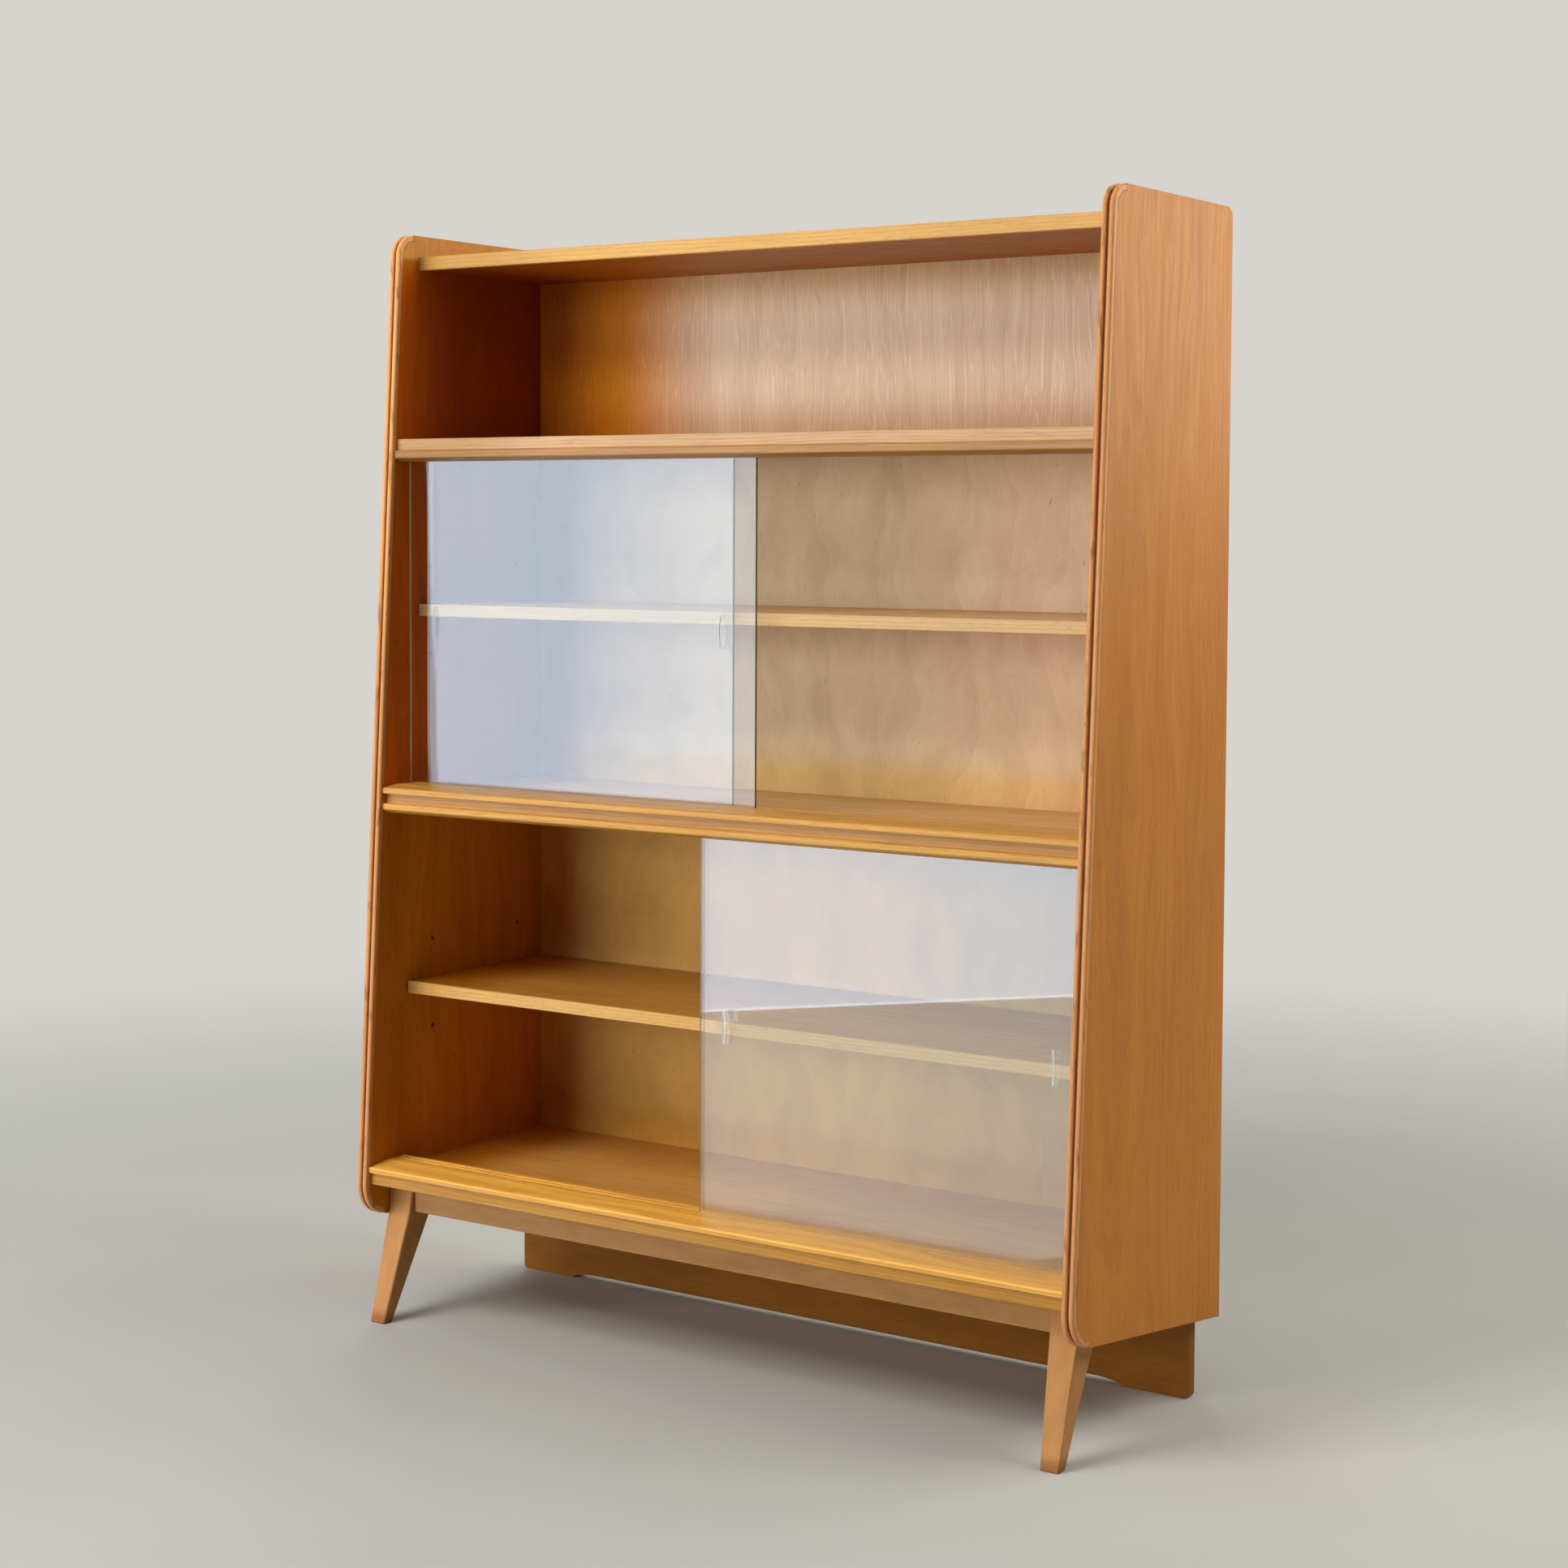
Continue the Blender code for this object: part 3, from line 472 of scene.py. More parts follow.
def float_glass(name, tint, edge, pull, white):
    """Clear float glass: sharp reflections, pale green ground edges and a ground finger pull.

    pull is the pull's left side, its foot and its head in millimetres. white is how white the ground side
    of the pull is, brightened as a painted highlight.
    """
    material, tree = empty_material(name)
    coordinates = add(tree, "ShaderNodeTexCoord").outputs
    facing = add(tree, "ShaderNodeSeparateXYZ", {"Vector": coordinates["Normal"]}).outputs["Y"]
    flat = add(tree, "ShaderNodeMath", {0: facing}, operation="ABSOLUTE").outputs[0]
    edges = add(
        tree, "ShaderNodeMapRange", {"Value": flat, "From Min": 0.95, "From Max": 0.6}
    ).outputs["Result"]
    # one long side of the pull is ground white and brightened as a painted highlight
    left, low, high = pull
    beside = inside_of(tree, coordinates["Object"], Zone("X", left, left + STROKE_WIDTH, soft=0.4))
    upright = inside_of(tree, coordinates["Object"], Zone("Z", low, high, soft=1.0))
    ground_stroke_and_highlight = add(tree, "ShaderNodeMath", {0: beside, 1: upright}, operation="MULTIPLY").outputs[0]
    ground_stroke_and_highlight = add(tree, "ShaderNodeMath", {0: ground_stroke_and_highlight, 1: white}, operation="MULTIPLY").outputs[0]
    ground = add(tree, "ShaderNodeMath", {0: edges, 1: ground_stroke_and_highlight}, operation="MAXIMUM").outputs[0]
    grit = add(
        tree, "ShaderNodeTexNoise",
        {"Vector": coordinates["Object"], "Scale": MM / GRIT_SIZE, "Detail": 2.0},
    ).outputs["Fac"]
    frost = add(
        tree, "ShaderNodeMix", {0: ground_stroke_and_highlight, 6: edge, 7: linear("#FFFFFF")}, data_type="RGBA"
    ).outputs[2]
    frost = add(
        tree, "ShaderNodeMix", {0: grit, 6: frost, 7: tint}, data_type="RGBA", blend_type="MULTIPLY"
    ).outputs[2]
    pane = add(
        tree, "ShaderNodeBsdfPrincipled",
        {"Base Color": tint, "Roughness": 0.0, "IOR": GLASS_IOR, "Transmission Weight": 1.0},
    ).outputs["BSDF"]
    frosted = add(
        tree, "ShaderNodeBsdfPrincipled", {"Base Color": frost, "Roughness": 0.6, "IOR": GLASS_IOR}
    ).outputs["BSDF"]
    share = add(tree, "ShaderNodeMath", {0: ground, 1: FROST_SHARE}, operation="MULTIPLY").outputs[0]
    surface = add(tree, "ShaderNodeMixShader", {0: share, 1: pane, 2: frosted}).outputs["Shader"]
    # lamplight loses what each surface mirrors
    clear = add(tree, "ShaderNodeBsdfTransparent", {"Color": shade(tint, LET_THROUGH)}).outputs["BSDF"]
    path = add(tree, "ShaderNodeLightPath").outputs
    shadow, diffuse = path["Is Shadow Ray"], path["Is Diffuse Ray"]
    lit_through = add(tree, "ShaderNodeMath", {0: shadow, 1: diffuse}, operation="MAXIMUM").outputs[0]
    glass = add(tree, "ShaderNodeMixShader", {0: lit_through, 1: surface, 2: clear}).outputs["Shader"]
    add(tree, "ShaderNodeOutputMaterial", {"Surface": glass})
    return material


def turned_brass(name, colour):
    """Turned brass, dulled by age: cloudy tarnish that changes its tone and its roughness."""
    material, tree = empty_material(name)
    coordinates = add(tree, "ShaderNodeTexCoord").outputs["Object"]
    tarnish = add(
        tree, "ShaderNodeTexNoise", {"Vector": coordinates, "Scale": MM / TARNISH_SIZE, "Detail": 3.0}
    ).outputs["Fac"]
    tone = add(
        tree, "ShaderNodeMix", {0: tarnish, 6: colour, 7: shade(colour, 0.55, 1.2)}, data_type="RGBA"
    ).outputs[2]
    roughness = add(
        tree, "ShaderNodeMapRange", {"Value": tarnish, "To Min": 0.22, "To Max": 0.5}
    ).outputs["Result"]
    surface = add(
        tree, "ShaderNodeBsdfPrincipled", {"Base Color": tone, "Metallic": 1.0, "Roughness": roughness}
    )
    add(tree, "ShaderNodeOutputMaterial", {"Surface": surface.outputs["BSDF"]})
    return material


def trowelled_concrete(colour):
    """Power-trowelled concrete, sealed matt: pale grey with faint clouds. It fades into the backdrop."""
    material, tree = empty_material("trowelled_concrete")
    coordinates = add(tree, "ShaderNodeTexCoord").outputs["Object"]
    clouds = add(
        tree, "ShaderNodeTexNoise", {"Vector": coordinates, "Scale": MM / CLOUD_SIZE, "Detail": 5.0}
    ).outputs["Fac"]
    pale, dark = shade(colour, 1.04), shade(colour, 0.94)
    tone = add(tree, "ShaderNodeMix", {0: clouds, 6: pale, 7: dark}, data_type="RGBA").outputs[2]
    surface = add(
        tree, "ShaderNodeBsdfPrincipled",
        {"Base Color": tone, "Roughness": 0.75, "Specular IOR Level": 0.0},
    ).outputs["BSDF"]
    clear = add(tree, "ShaderNodeBsdfTransparent").outputs["BSDF"]
    reach = add(tree, "ShaderNodeVectorMath", {0: coordinates}, operation="LENGTH").outputs["Value"]
    nearest, farthest = FLOOR_FADE
    fade = add(
        tree, "ShaderNodeMapRange", {"Value": reach, "From Min": nearest, "From Max": farthest},
        interpolation_type="SMOOTHSTEP",
    ).outputs["Result"]
    both = add(tree, "ShaderNodeMixShader", {0: fade, 1: surface, 2: clear}).outputs["Shader"]
    add(tree, "ShaderNodeOutputMaterial", {"Surface": both})
    return material


def finish(material, *nodes):
    """Gives the CAD nodes a material in every slot."""
    for name in nodes:
        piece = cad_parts[name]
        for slot in piece.material_slots:
            slot.material = material
        if not piece.material_slots:
            piece.data.materials.append(material)


# Operators


class BOOKCASE_OT_side_panels(bpy.types.Operator):
    """Oak veneer on the side panels"""

    bl_idname = "bookcase.side_panels"
    bl_label = "Side panels"

    def execute(self, context):
        colour = context.scene.bookcase.timber.side_veneer[:]
        # knife-cut oak veneer, sanded and satin lacquered: soft upright streaks, fine threads and dark
        # flecks drawn coarser than the real ones; the inner faces carry painted shade, darkest towards
        # the open bay's back, and painted light above the top board and towards the lower bay's back
        inside = Zone("OUT", -1.0, SIDE_FACE + NEAR, soft=0.4)
        # these two meet inside the top board's thickness
        over_top_board = above(top_of("top_board") - 4.0, soft=4.0)
        under_top_board = below(top_of("top_board") - 8.0, soft=8.0)
        upper_bays = Zone("Z", UPPER_BAY_FLOOR, OPEN_BAY_TOP, soft=8.0)
        open_bay = Zone("Z", OPEN_BAY_FLOOR, OPEN_BAY_TOP, soft=8.0)
        lower_bay = Zone("Z", LOWER_BAY_FLOOR, LOWER_BAY_TOP, soft=8.0)
        # painted shade on the left side's inner faces, redder in the upper bays and darkest towards the
        # open bay's back; painted light towards the lower bay's back
        painted_bay_light_and_shade = (
            ((1.35, 0.88, 0.20), inside, upper_bays),
            ((0.44, 0.38, 0.32), inside, open_bay, behind(10.0, soft=150.0)),
            ((1.25, 1.35, 1.60), inside, lower_bay, behind(-60.0, soft=90.0)),
        )
        for name, pith, bay_light_and_shade in (
            ("left_side_panel", (260.0, -120.0, 700.0), painted_bay_light_and_shade),
            ("right_side_panel", (-380.0, 70.0, 0.0), ()),
        ):
            grain = Grain(
                pith=pith, ring=12.0, ring_strength=0.16, wander=90.0, wander_size=(120.0, 520.0),
                fibre=(5.0, 190.0), fibre_strength=0.30, pore=(2.4, 18.0), pore_strength=0.26,
                cloud=(46.0, 380.0), cloud_strength=0.55, thread=(3.0, 240.0), thread_strength=0.14,
                shine=0.16,
                # painted light on the inner faces above the top board, painted shade below it
                tints=(
                    ((1.20, 1.45, 1.70), inside, over_top_board),
                    ((0.86, 0.80, 0.34), inside, under_top_board),
                    *bay_light_and_shade,
                ),
                core=True,
            )
            finish(wood(f"oak_veneer_{name}", colour, grain), name)
        return {"FINISHED"}


class BOOKCASE_OT_boards(bpy.types.Operator):
    """Veneer on the fixed boards and the adjustable shelves"""

    bl_idname = "bookcase.boards"
    bl_label = "Boards and shelves"

    def execute(self, context):
        timber = context.scene.bookcase.timber
        # the same oak veneer, with its grain from side to side; painted shade darkens the top board's
        # underside and the boards' left ends
        painted_left_shade = ((0.70, 0.48, 0.12), near_left(53.0, soft=110.0))
        painted_underside_shade = ((0.56, 0.35, 0.08), below(OPEN_BAY_TOP + NEAR, soft=0.4))
        for number, (name, colour, shine, tints) in enumerate((
            ("top_board", timber.boards_in_painted_shade, 0.08, (painted_underside_shade, painted_left_shade)),
            ("fixed_shelf_board", timber.boards, 0.3, (painted_left_shade,)),
            ("middle_board", timber.boards, 0.3, (painted_left_shade,)),
            ("upper_adjustable_shelf", timber.boards, 0.3, (painted_left_shade,)),
            ("lower_adjustable_shelf", timber.lower_shelf_in_painted_shade, 0.3, (painted_left_shade,)),
            ("bottom_board", timber.boards_in_painted_shade, 0.3, (painted_left_shade,)),
        )):
            grain = Grain(
                direction=LENGTHWISE, pith=(70.0 + 37.0 * number, 90.0, 310.0 * number),
                ring=11.0, ring_strength=0.16, wander=60.0, wander_size=(70.0, 300.0),
                fibre=(4.0, 120.0), fibre_strength=0.4, pore=(2.2, 18.0), pore_strength=0.2,
                cloud=(40.0, 110.0), cloud_strength=0.5, roughness=(0.30, 0.42), shine=shine,
                tints=tints,
            )
            finish(wood(f"oak_veneer_{name}", colour[:], grain), name)
        return {"FINISHED"}


class BOOKCASE_OT_back_panels(bpy.types.Operator):
    """Veneered plywood behind the open bay and plain birch plywood behind the glazed ones"""

    bl_idname = "bookcase.back_panels"
    bl_label = "Back panels"

    def execute(self, context):
        timber = context.scene.bookcase.timber
        front_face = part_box("open_bay_back_panel")[0][1] * MM
        front = Zone("Y", 0.0, front_face + NEAR, soft=0.5)
        # streaky sliced veneer, barely finished: pinkish tan with pale and dark threads that lean a
        # little; painted shade makes it golden at the left and deeper along the top board and the shelf
        lean = math.radians(1.6)
        streaked = Grain(
            direction=(0.0, lean, 0.0), pith=(300.0, 400.0, 0.0), ring=24.0, ring_strength=0.14,
            wander=52.0, wander_size=(80.0, 330.0), fibre=(3.2, 420.0), fibre_strength=0.24,
            pore=(2.0, 150.0), pore_strength=0.20, cloud=(60.0, 420.0), cloud_strength=0.30,
            thread=(2.2, 700.0), thread_strength=0.50, roughness=(0.5, 0.6), shine=0.12,
            # painted shade: the left side's shadow at the left, shade under the top board and over the
            # shelf
            tints=(
                ((0.90, 0.40, 0.02), front, near_left(133.0, soft=210.0)),
                ((0.76, 0.66, 0.44), front, above(OPEN_BAY_TOP - 5.0, soft=60.0)),
                ((0.71, 0.58, 0.46), front, below(OPEN_BAY_FLOOR + 8.0, soft=90.0)),
            ),
        )
        finish(wood("streaked_veneer_open_bay", timber.back_veneer[:], streaked), "open_bay_back_panel")
        # rotary-cut birch plywood, sanded only: pale and cloudy, with flowing figure, smudges and small
        # dark flecks; painted shade deepens it near the bay's floor and left side, and the lower bay's is
        # a golden copy darkened as painted shade
        for name, pith, floor, tone in (
            ("upper_bay_back_panel", (210.0, 60.0, 0.0), UPPER_BAY_FLOOR, (1.0, 1.0, 1.0)),
            ("lower_bay_back_panel", (240.0, 80.0, 500.0), LOWER_BAY_FLOOR, (0.76, 0.59, 0.23)),
        ):
            grain = Grain(
                pith=pith, ring=60.0, ring_strength=0.13, wander=130.0, wander_size=(170.0, 190.0),
                fibre=(5.0, 60.0), fibre_strength=0.22, pore_strength=0.0,
                cloud=(50.0, 95.0), cloud_strength=0.48, leaf=276.0, leaf_strength=0.12,
                stain=(3.4, 17.0), stain_strength=0.45, stain_from=0.67,
                roughness=(0.52, 0.62), shine=0.12,
                # painted shade on each back's front face: the whole lower bay, each bay's floor and left
                # side
                tints=(
                    (tone, front),
                    ((0.94, 0.80, 0.50), front, below(floor + 25.0, soft=45.0)),
                    ((0.86, 0.54, 0.06), front, near_left(28.0, soft=70.0)),
                ),
            )
            finish(wood(f"birch_plywood_{name}", timber.plywood[:], grain), name)
        return {"FINISHED"}


class BOOKCASE_OT_lippings(bpy.types.Operator):
    """Solid lippings of the sides, the top board and the shelves"""

    bl_idname = "bookcase.lippings"
    bl_label = "Lippings"

    def execute(self, context):
        timber = context.scene.bookcase.timber
        # solid hardwood beads, moulded and satin lacquered: long plain lines, dark blotches where hands
        # have worn the lacquer, and old polish with painted shade in the groove; painted light makes the
        # left beads paler towards the top
        inner, outer = (corner[0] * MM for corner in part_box("right_side_lipping"))
        between_beads, groove_half = (inner + outer) / 2, 1.2
        # dark old polish and painted shade in the groove between the beads
        groove_polish_and_shade = (
            (0.22, 0.12, 0.08),
            Zone("OUT", between_beads - groove_half, between_beads + groove_half, soft=0.25),
        )
        # painted light on the left beads towards the top
        painted_light_upper_beads = ((1.25, 1.36, 1.50), above(1200.0, soft=350.0))
        for name, pith, tints in (
            ("left_side_lipping", (90.0, 20.0, 0.0), (groove_polish_and_shade, painted_light_upper_beads)),
            ("right_side_lipping", (-70.0, 30.0, 400.0), (groove_polish_and_shade,)),
        ):
            grain = Grain(
                pith=pith, ring=3.2, ring_strength=0.25,
                stain=(9.0, 46.0), stain_strength=0.6, stain_from=0.58, tints=tints,
            )
            finish(wood(f"moulded_hardwood_{name}", timber.lipping[:], grain), name)
        # planed flat strips of a paler wood, with painted shade at the left end, most of all on the top
        # board
        painted_shelf_end_shade = ((0.92, 0.90, 0.84), near_left(43.0, soft=110.0))
        painted_top_lipping_shade = ((0.76, 0.72, 0.60), near_left(103.0, soft=200.0))
        for name, colour, pith, painted_left_shade in (
            ("top_board_lipping", timber.top_lipping, (30.0, 60.0, 0.0), painted_top_lipping_shade),
            ("upper_adjustable_shelf_lipping", timber.upper_shelf_lipping, (50.0, 80.0, 350.0), painted_shelf_end_shade),
            ("lower_adjustable_shelf_lipping", timber.top_lipping, (20.0, 110.0, 700.0), painted_shelf_end_shade),
        ):
            grain = Grain(
                direction=LENGTHWISE, pith=pith, ring=5.0, ring_strength=0.3, wander=18.0,
                fibre=(2.6, 120.0), thread=(2.6, 120.0), thread_strength=0.3, tints=(painted_left_shade,),
            )
            finish(wood(f"planed_hardwood_{name}", colour[:], grain), name)
        return {"FINISHED"}


class BOOKCASE_OT_rails(bpy.types.Operator):
    """Moulded front rails with the grooves of the glass"""

    bl_idname = "bookcase.rails"
    bl_label = "Front rails"

    def execute(self, context):
        timber = context.scene.bookcase.timber
        # solid ash, moulded and lacquered to a soft gloss, with long open lines; each rail has painted
        # shade on one member, the bead, the hollow or the band, at its height over the rail's foot, and
        # the bottom rail has painted light on its top slope
        painted_bead_shade = ((0.72, 0.60, 0.36), below(foot_of("fixed_shelf_rail") + 15.3, soft=0.4))
        # painted shade at the fixed rail's left end
        painted_left_shade = ((0.80, 0.73, 0.50), near_left(93.0, soft=180.0))
        foot = foot_of("middle_rail")
        painted_hollow_shade = ((0.76, 0.72, 0.88), Zone("Z", foot + 13.7, foot + 27.0, soft=0.4))
        painted_band_shade = ((0.68, 0.64, 0.46), below(foot_of("bottom_rail") + 16.8, soft=0.4))
        painted_light_slope = ((1.34, 1.38, 1.3), above(foot_of("bottom_rail") + 24.1, soft=3.0))
        honey = timber.glazed_rail[:]
        for name, colour, pith, tints in (
            ("fixed_shelf_rail", timber.fixed_rail[:], (40.0, 60.0, 0.0), (painted_bead_shade, painted_left_shade)),
            ("middle_rail", shade(honey, factor=0.87), (30.0, 50.0, 500.0), (painted_hollow_shade,)),
            ("bottom_rail", honey, (60.0, 75.0, 900.0), (painted_band_shade, painted_light_slope)),
        ):
            grain = Grain(
                direction=LENGTHWISE, pith=pith, ring=5.0, ring_strength=0.4,
                wander=22.0, wander_size=(40.0, 420.0), fibre=(2.6, 160.0), pore=(2.2, 30.0),
                pore_strength=0.25, thread=(2.8, 160.0), thread_strength=0.3,
                roughness=(0.26, 0.38), tints=tints,
            )
            finish(wood(f"moulded_ash_{name}", colour, grain), name)
        return {"FINISHED"}


class BOOKCASE_OT_base(bpy.types.Operator):
    """Legs, apron, rear base board, glue blocks and dowels"""

    bl_idname = "bookcase.base"
    bl_label = "Base"

    def execute(self, context):
        timber = context.scene.bookcase.timber
        # stained beech, planed and worn: close grain with short flecks and uneven stain, darker where
        # the feet are damp
        beech = Grain(
            ring=4.5, ring_strength=0.18, wander=10.0, fibre=(1.5, 40.0), fibre_strength=0.35,
            pore=(0.9, 4.0), pore_strength=0.22, cloud=(22.0, 60.0), cloud_strength=0.6,
            roughness=(0.45, 0.58), shine=0.15,
        )
        damp_foot = ((0.62, 0.52, 0.42), below(5.0, soft=16.0))
        for name, pith in (
            ("left_front_leg", (80.0, 60.0, 0.0)),
            ("right_front_leg", (-60.0, 90.0, 300.0)),
        ):
            grain = beech._replace(pith=pith, tints=(damp_foot,))
            finish(wood(f"stained_beech_{name}", timber.legs[:], grain), name)
        for name, piece, colour, pith in (
            ("stained_beech_apron", "front_apron", timber.apron, (50.0, 40.0, 0.0)),
            ("stained_beech_base_board", "rear_base_board", timber.base_board, (90.0, 40.0, 600.0)),
        ):
            grain = beech._replace(direction=LENGTHWISE, pith=pith)
            finish(wood(name, colour[:], grain), piece)
        # raw beech, sawn and glued: pale and matt
        raw = Grain(
            direction=LENGTHWISE, pith=(40.0, 30.0, 0.0), ring=3.0, ring_strength=0.2,
            pore=(0.8, 3.0), cloud_strength=0.2, roughness=(0.6, 0.7),
        )
        blocks = wood("raw_beech_blocks", timber.beech[:], raw)
        finish(blocks, *(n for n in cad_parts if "glue_block" in n or "dowel" in n))
        return {"FINISHED"}


class BOOKCASE_OT_glass(bpy.types.Operator):
    """Four sliding panes"""

    bl_idname = "bookcase.glass"
    bl_label = "Glass panes"

    def execute(self, context):
        fittings = context.scene.bookcase.fittings
        tint, edge = fittings.glass_tint[:], fittings.glass_edge[:]
        # float glass, cut and ground: the pull stands near each pane's outer edge, at mid-height
        # white: how bright the painted highlight on each bay's pull is
        for bay, inset, white in (("upper", 0.050, 0.35), ("lower", 0.0425, 0.85)):
            for side, sign in (("left", 1), ("right", -1)):
                name = f"{bay}_{side}_pane"
                low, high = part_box(name)
                centre = (low if sign == 1 else high)[0] + sign * inset
                middle = (low[2] + high[2]) / 2
                foot, top = middle - PULL_REACH, middle + PULL_REACH
                pull = ((centre - PULL_SIDE) * MM, foot * MM, top * MM)
                finish(float_glass(f"clear_float_glass_{name}", tint, edge, pull, white), name)
        return {"FINISHED"}


class BOOKCASE_OT_pins(bpy.types.Operator):
    """Shelf pins"""

    bl_idname = "bookcase.pins"
    bl_label = "Shelf pins"

    def execute(self, context):
        brass = turned_brass("turned_brass_pins", context.scene.bookcase.fittings.brass[:])
        finish(brass, *(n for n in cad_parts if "shelf_pin" in n))
        return {"FINISHED"}


class BOOKCASE_OT_back_screws(bpy.types.Operator):
    """Slotted screws along the edges of the back panels"""

    bl_idname = "bookcase.back_screws"
    bl_label = "Back screws"

    def execute(self, context):
        fittings = context.scene.bookcase.fittings
        shape = bmesh.new()
        turn = 0.0
        for panel, board in (
            ("open_bay_back_panel", "top_board"),
            ("open_bay_back_panel", "fixed_shelf_board"),
            ("upper_bay_back_panel", "fixed_shelf_board"),
            ("upper_bay_back_panel", "middle_board"),
            ("lower_bay_back_panel", "middle_board"),
            ("lower_bay_back_panel", "bottom_board"),
        ):
            low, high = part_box(panel)
            held_low, held_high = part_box(board)
            height = (max(low[2], held_low[2]) + min(high[2], held_high[2])) / 2
            first, last = low[0] + SCREW_INSET, high[0] - SCREW_INSET
            for number in range(fittings.screws_per_row):
                along = first + (last - first) * number / (fittings.screws_per_row - 1)
                turn += SLOT_TURN
                self.head(shape, Vector((along, high[1], height)), turn, fittings)
        mesh = bpy.data.meshes.new("back_screws")
        shape.to_mesh(mesh)
        shape.free()
        mesh.shade_smooth()
        mesh.set_sharp_from_angle(angle=SHARP_ANGLE)
        mesh.materials.append(turned_brass("turned_brass_screws", fittings.brass[:]))
        screws = bpy.data.objects.new("back_screws", mesh)
        context.scene.collection.objects.link(screws)
        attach(screws, CARCASS)
        return {"FINISHED"}

    def head(self, shape, centre, turn, fittings):
        """A raised head: columns side by side across the slot, each a chord of the head's circle."""
        radius, rise = fittings.screw_head / 2, fittings.screw_rise
        side = [(share * radius, 1.0) for share in HEAD_COLUMNS]
        side += [(-SLOT_SHARE * radius, 1.0), (-SLOT_SHARE * radius, SLOT_FLOOR)]
        columns = []
        for across, kept in side + [(-across, kept) for across, kept in reversed(side)]:
            half = math.sqrt(radius**2 - across**2)
            column = []
            for step in HEAD_ROWS:
                up = half * step
                out = rise * (1 - HEAD_FALL * (across**2 + up**2) / radius**2) * kept
                spot = Matrix.Rotation(turn, 3, "Y") @ Vector((across, out, up))
                column.append(shape.verts.new(centre + spot))
            columns.append(column)
        for left, right in zip(columns, columns[1:]):
            for row in range(len(left) - 1):
                shape.faces.new((left[row], left[row + 1], right[row + 1], right[row]))


class BOOKCASE_OT_studio(bpy.types.Operator):
    """Pale floor, soft light and the camera"""

    bl_idname = "bookcase.studio"
    bl_label = "Studio"

    def execute(self, context):
        studio = context.scene.bookcase.studio
        self.floor(context, studio)
        self.world(context, studio)
        # what the panes mirror: a pale wall at the front left and the bright floor before it
        wall = self.soft_light(
            context, "mirrored_wall", place=(-0.384, -3.70, 1.30), facing=WALL_FACING, size=(6.4, 2.6),
            brightness=studio.mirrored_wall, colour="#CCE1FA",
        )
        ground = self.soft_light(
            context, "mirrored_floor", place=(0.24, -2.76, 0.004), facing=UPWARD, size=(6.4, 2.2),
            brightness=studio.mirrored_floor, colour="#DBE4E6",
        )
        turn = math.atan2(-WALL_FACING[0], WALL_FACING[1])
        ground.rotation_quaternion = Quaternion((0.0, 0.0, 1.0), turn) @ ground.rotation_quaternion
        for lamp in (wall, ground):
            lamp.visible_diffuse = False
        # what lights the wood: a key from the front left that leaves the bays' left ends in shade, a
        # higher one on the shelves' tops, and softer fills that polished wood and glass mirror
        for name, place, aim, size, brightness, colour, mirrored in (
            ("front_left", (-2.65, -4.25, 1.25), MIDDLE, (3.2, 1.5), studio.front, "#FFFAF2", False),
            ("front_high", (-1.1, -3.0, 3.5), LOW, (1.8, 1.8), studio.front_high, "#FFFAF2", False),
            ("right", (2.1, 0.5, 2.2), RIGHT_SIDE, (1.3, 1.3), studio.right, "#FFF6EA", True),
            ("right_sheen", (1.75, 2.4, 1.9), RIGHT_SIDE, (1.4, 1.4), studio.sheen, "#FFF7E4", True),
            ("overhead", (0.0, 0.0, 5.0), FOOT, (8.0, 8.0), studio.overhead, "#FFFFFF", True),
            ("rear_left", (-2.6, 2.8, 2.2), REAR, (2.0, 2.0), studio.rear, "#FFFAF2", True),
        ):
            facing = Vector(aim) - Vector(place)
            light = self.soft_light(context, name, place, facing, size, brightness, colour)
            light.visible_glossy = light.visible_transmission = mirrored
        self.camera(context, studio)
        return {"FINISHED"}

    def floor(self, context, studio):
        """A round floor that fades into the backdrop."""
        mesh = bpy.data.meshes.new("floor")
        shape = bmesh.new()
        bmesh.ops.create_circle(shape, cap_ends=True, radius=FLOOR_RADIUS, segments=96)
        shape.to_mesh(mesh)
        shape.free()
        ground = bpy.data.objects.new("floor", mesh)
        context.scene.collection.objects.link(ground)
        mesh.materials.append(trowelled_concrete(studio.floor[:]))

    def world(self, context, studio):
        """A plain backdrop to look at, and a dimmer light from all round."""
        world = bpy.data.worlds.new("plain_studio")
        context.scene.world = world
        world.use_nodes = True
        tree = world.node_tree
        tree.nodes.clear()
        path = add(tree, "ShaderNodeLightPath").outputs
        seen = path["Is Camera Ray"]
        for ray in ("Is Transmission Ray", "Is Glossy Ray"):
            seen = add(tree, "ShaderNodeMath", {0: seen, 1: path[ray]}, operation="MAXIMUM").outputs[0]
        white = linear("#FFFFFF")
        light = add(tree, "ShaderNodeBackground", {"Color": white, "Strength": studio.ambient})
        backdrop = add(tree, "ShaderNodeBackground", {"Color": studio.backdrop[:], "Strength": 1.0})
        both = add(
            tree, "ShaderNodeMixShader", {0: seen, 1: light.outputs[0], 2: backdrop.outputs[0]}
        ).outputs["Shader"]
        add(tree, "ShaderNodeOutputWorld", {"Surface": both})

    def soft_light(self, context, name, place, facing, size, brightness, colour):
        """A flat lamp with the brightness of a lit surface, where 1 is white."""
        lamp = bpy.data.lights.new(name, "AREA")
        lamp.shape = "RECTANGLE"
        lamp.size, lamp.size_y = size
        lamp.color = linear(colour)[:3]
        lamp.energy = WHITE_LAMP * size[0] * size[1] * brightness
        light = bpy.data.objects.new(name, lamp)
        light.location = place
        light.rotation_mode = "QUATERNION"
        light.rotation_quaternion = Vector(facing).to_track_quat("-Z", "Y")
        light.visible_camera = False
        context.scene.collection.objects.link(light)
        return light

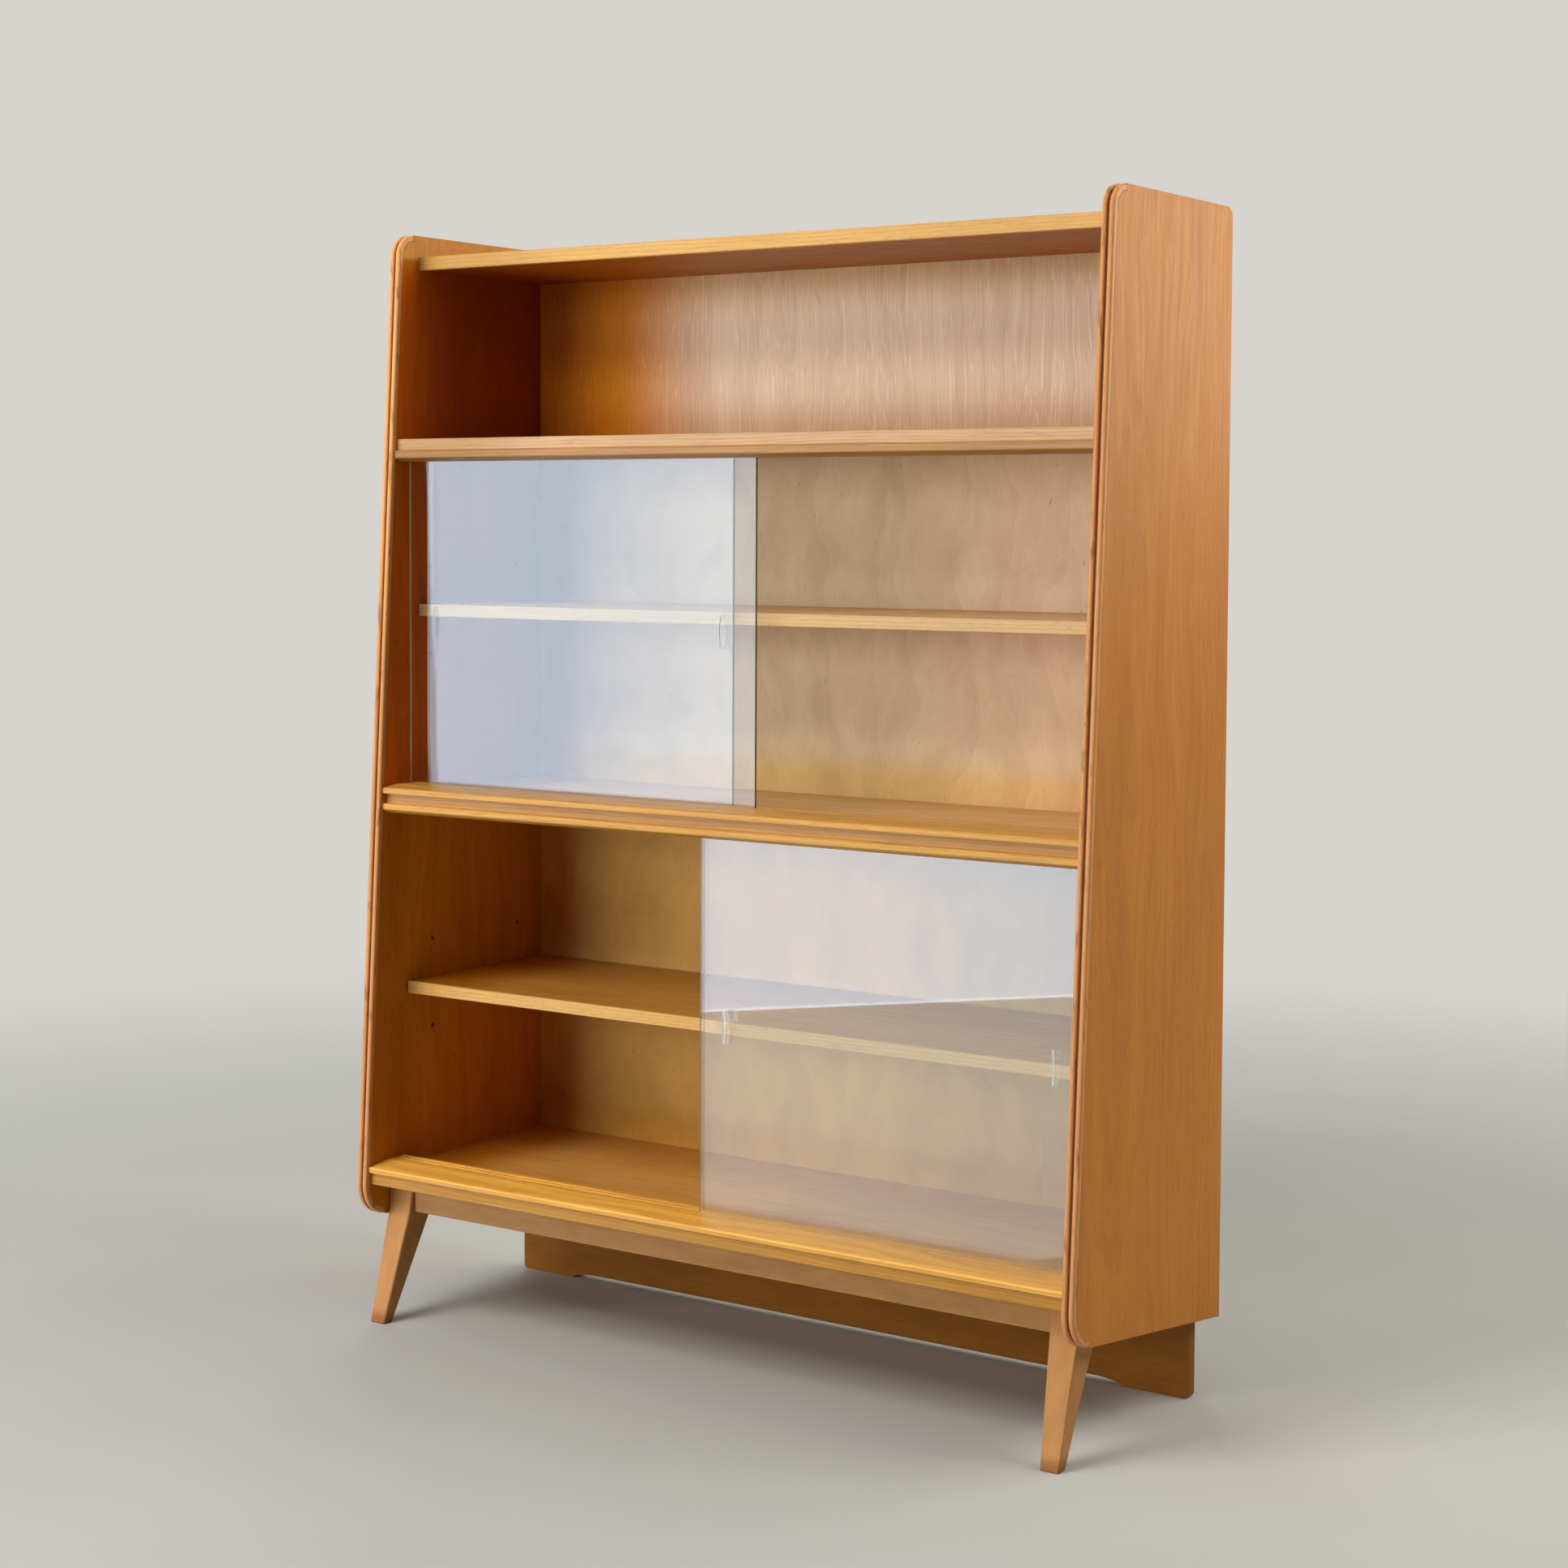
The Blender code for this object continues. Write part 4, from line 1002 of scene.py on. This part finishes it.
    def camera(self, context, studio):
        """The photograph's viewpoint, fitted to the bookcase."""
        view = bpy.data.cameras.new("camera")
        view.lens, view.sensor_width = studio.lens, 36.0
        view.shift_x, view.shift_y = LENS_SHIFT
        view.clip_end = 100.0
        viewpoint = bpy.data.objects.new("camera", view)
        context.scene.collection.objects.link(viewpoint)
        level = math.cos(PITCH)
        forward = Vector((-math.sin(YAW) * level, math.cos(YAW) * level, -math.sin(PITCH)))
        right = Vector((math.cos(YAW), math.sin(YAW), 0.0))
        down = forward.cross(right)
        across = math.cos(ROLL) * right + math.sin(ROLL) * down
        up = math.sin(ROLL) * right - math.cos(ROLL) * down
        turn = Matrix((across, up, -forward)).transposed().to_4x4()
        viewpoint.matrix_world = Matrix.Translation(VIEWPOINT) @ turn
        context.scene.camera = viewpoint


class BOOKCASE_OT_look(bpy.types.Operator):
    """Plain view transform"""

    bl_idname = "bookcase.look"
    bl_label = "Plain look"

    def execute(self, context):
        context.scene.view_settings.view_transform = "Standard"
        return {"FINISHED"}


class BOOKCASE_PT_panel(bpy.types.Panel):
    """Steps of the bookcase, in their order"""

    bl_label = "Bookcase"
    bl_idname = "BOOKCASE_PT_panel"
    bl_space_type = "VIEW_3D"
    bl_region_type = "UI"
    bl_category = "Bookcase"

    def draw(self, context):
        for step in STEPS:
            self.layout.operator(step.bl_idname)


STEPS = (
    BOOKCASE_OT_side_panels,
    BOOKCASE_OT_boards,
    BOOKCASE_OT_back_panels,
    BOOKCASE_OT_lippings,
    BOOKCASE_OT_rails,
    BOOKCASE_OT_base,
    BOOKCASE_OT_glass,
    BOOKCASE_OT_pins,
    BOOKCASE_OT_back_screws,
    BOOKCASE_OT_studio,
    BOOKCASE_OT_look,
)
SETTINGS = (BookcaseTimber, BookcaseFittings, BookcaseStudio, BookcaseSettings)
CLASSES = SETTINGS + STEPS + (BOOKCASE_PT_panel,)


def register():
    for item in CLASSES:
        bpy.utils.register_class(item)
    bpy.types.Scene.bookcase = PointerProperty(type=BookcaseSettings)


def unregister():
    del bpy.types.Scene.bookcase
    for item in reversed(CLASSES):
        bpy.utils.unregister_class(item)


def main():
    """Runs every step."""
    register()
    for step in STEPS:
        group, name = step.bl_idname.split(".")
        if getattr(getattr(bpy.ops, group), name)() != {"FINISHED"}:
            raise RuntimeError(f"{step.bl_label} could not be made")


if __name__ == "__main__":
    main()
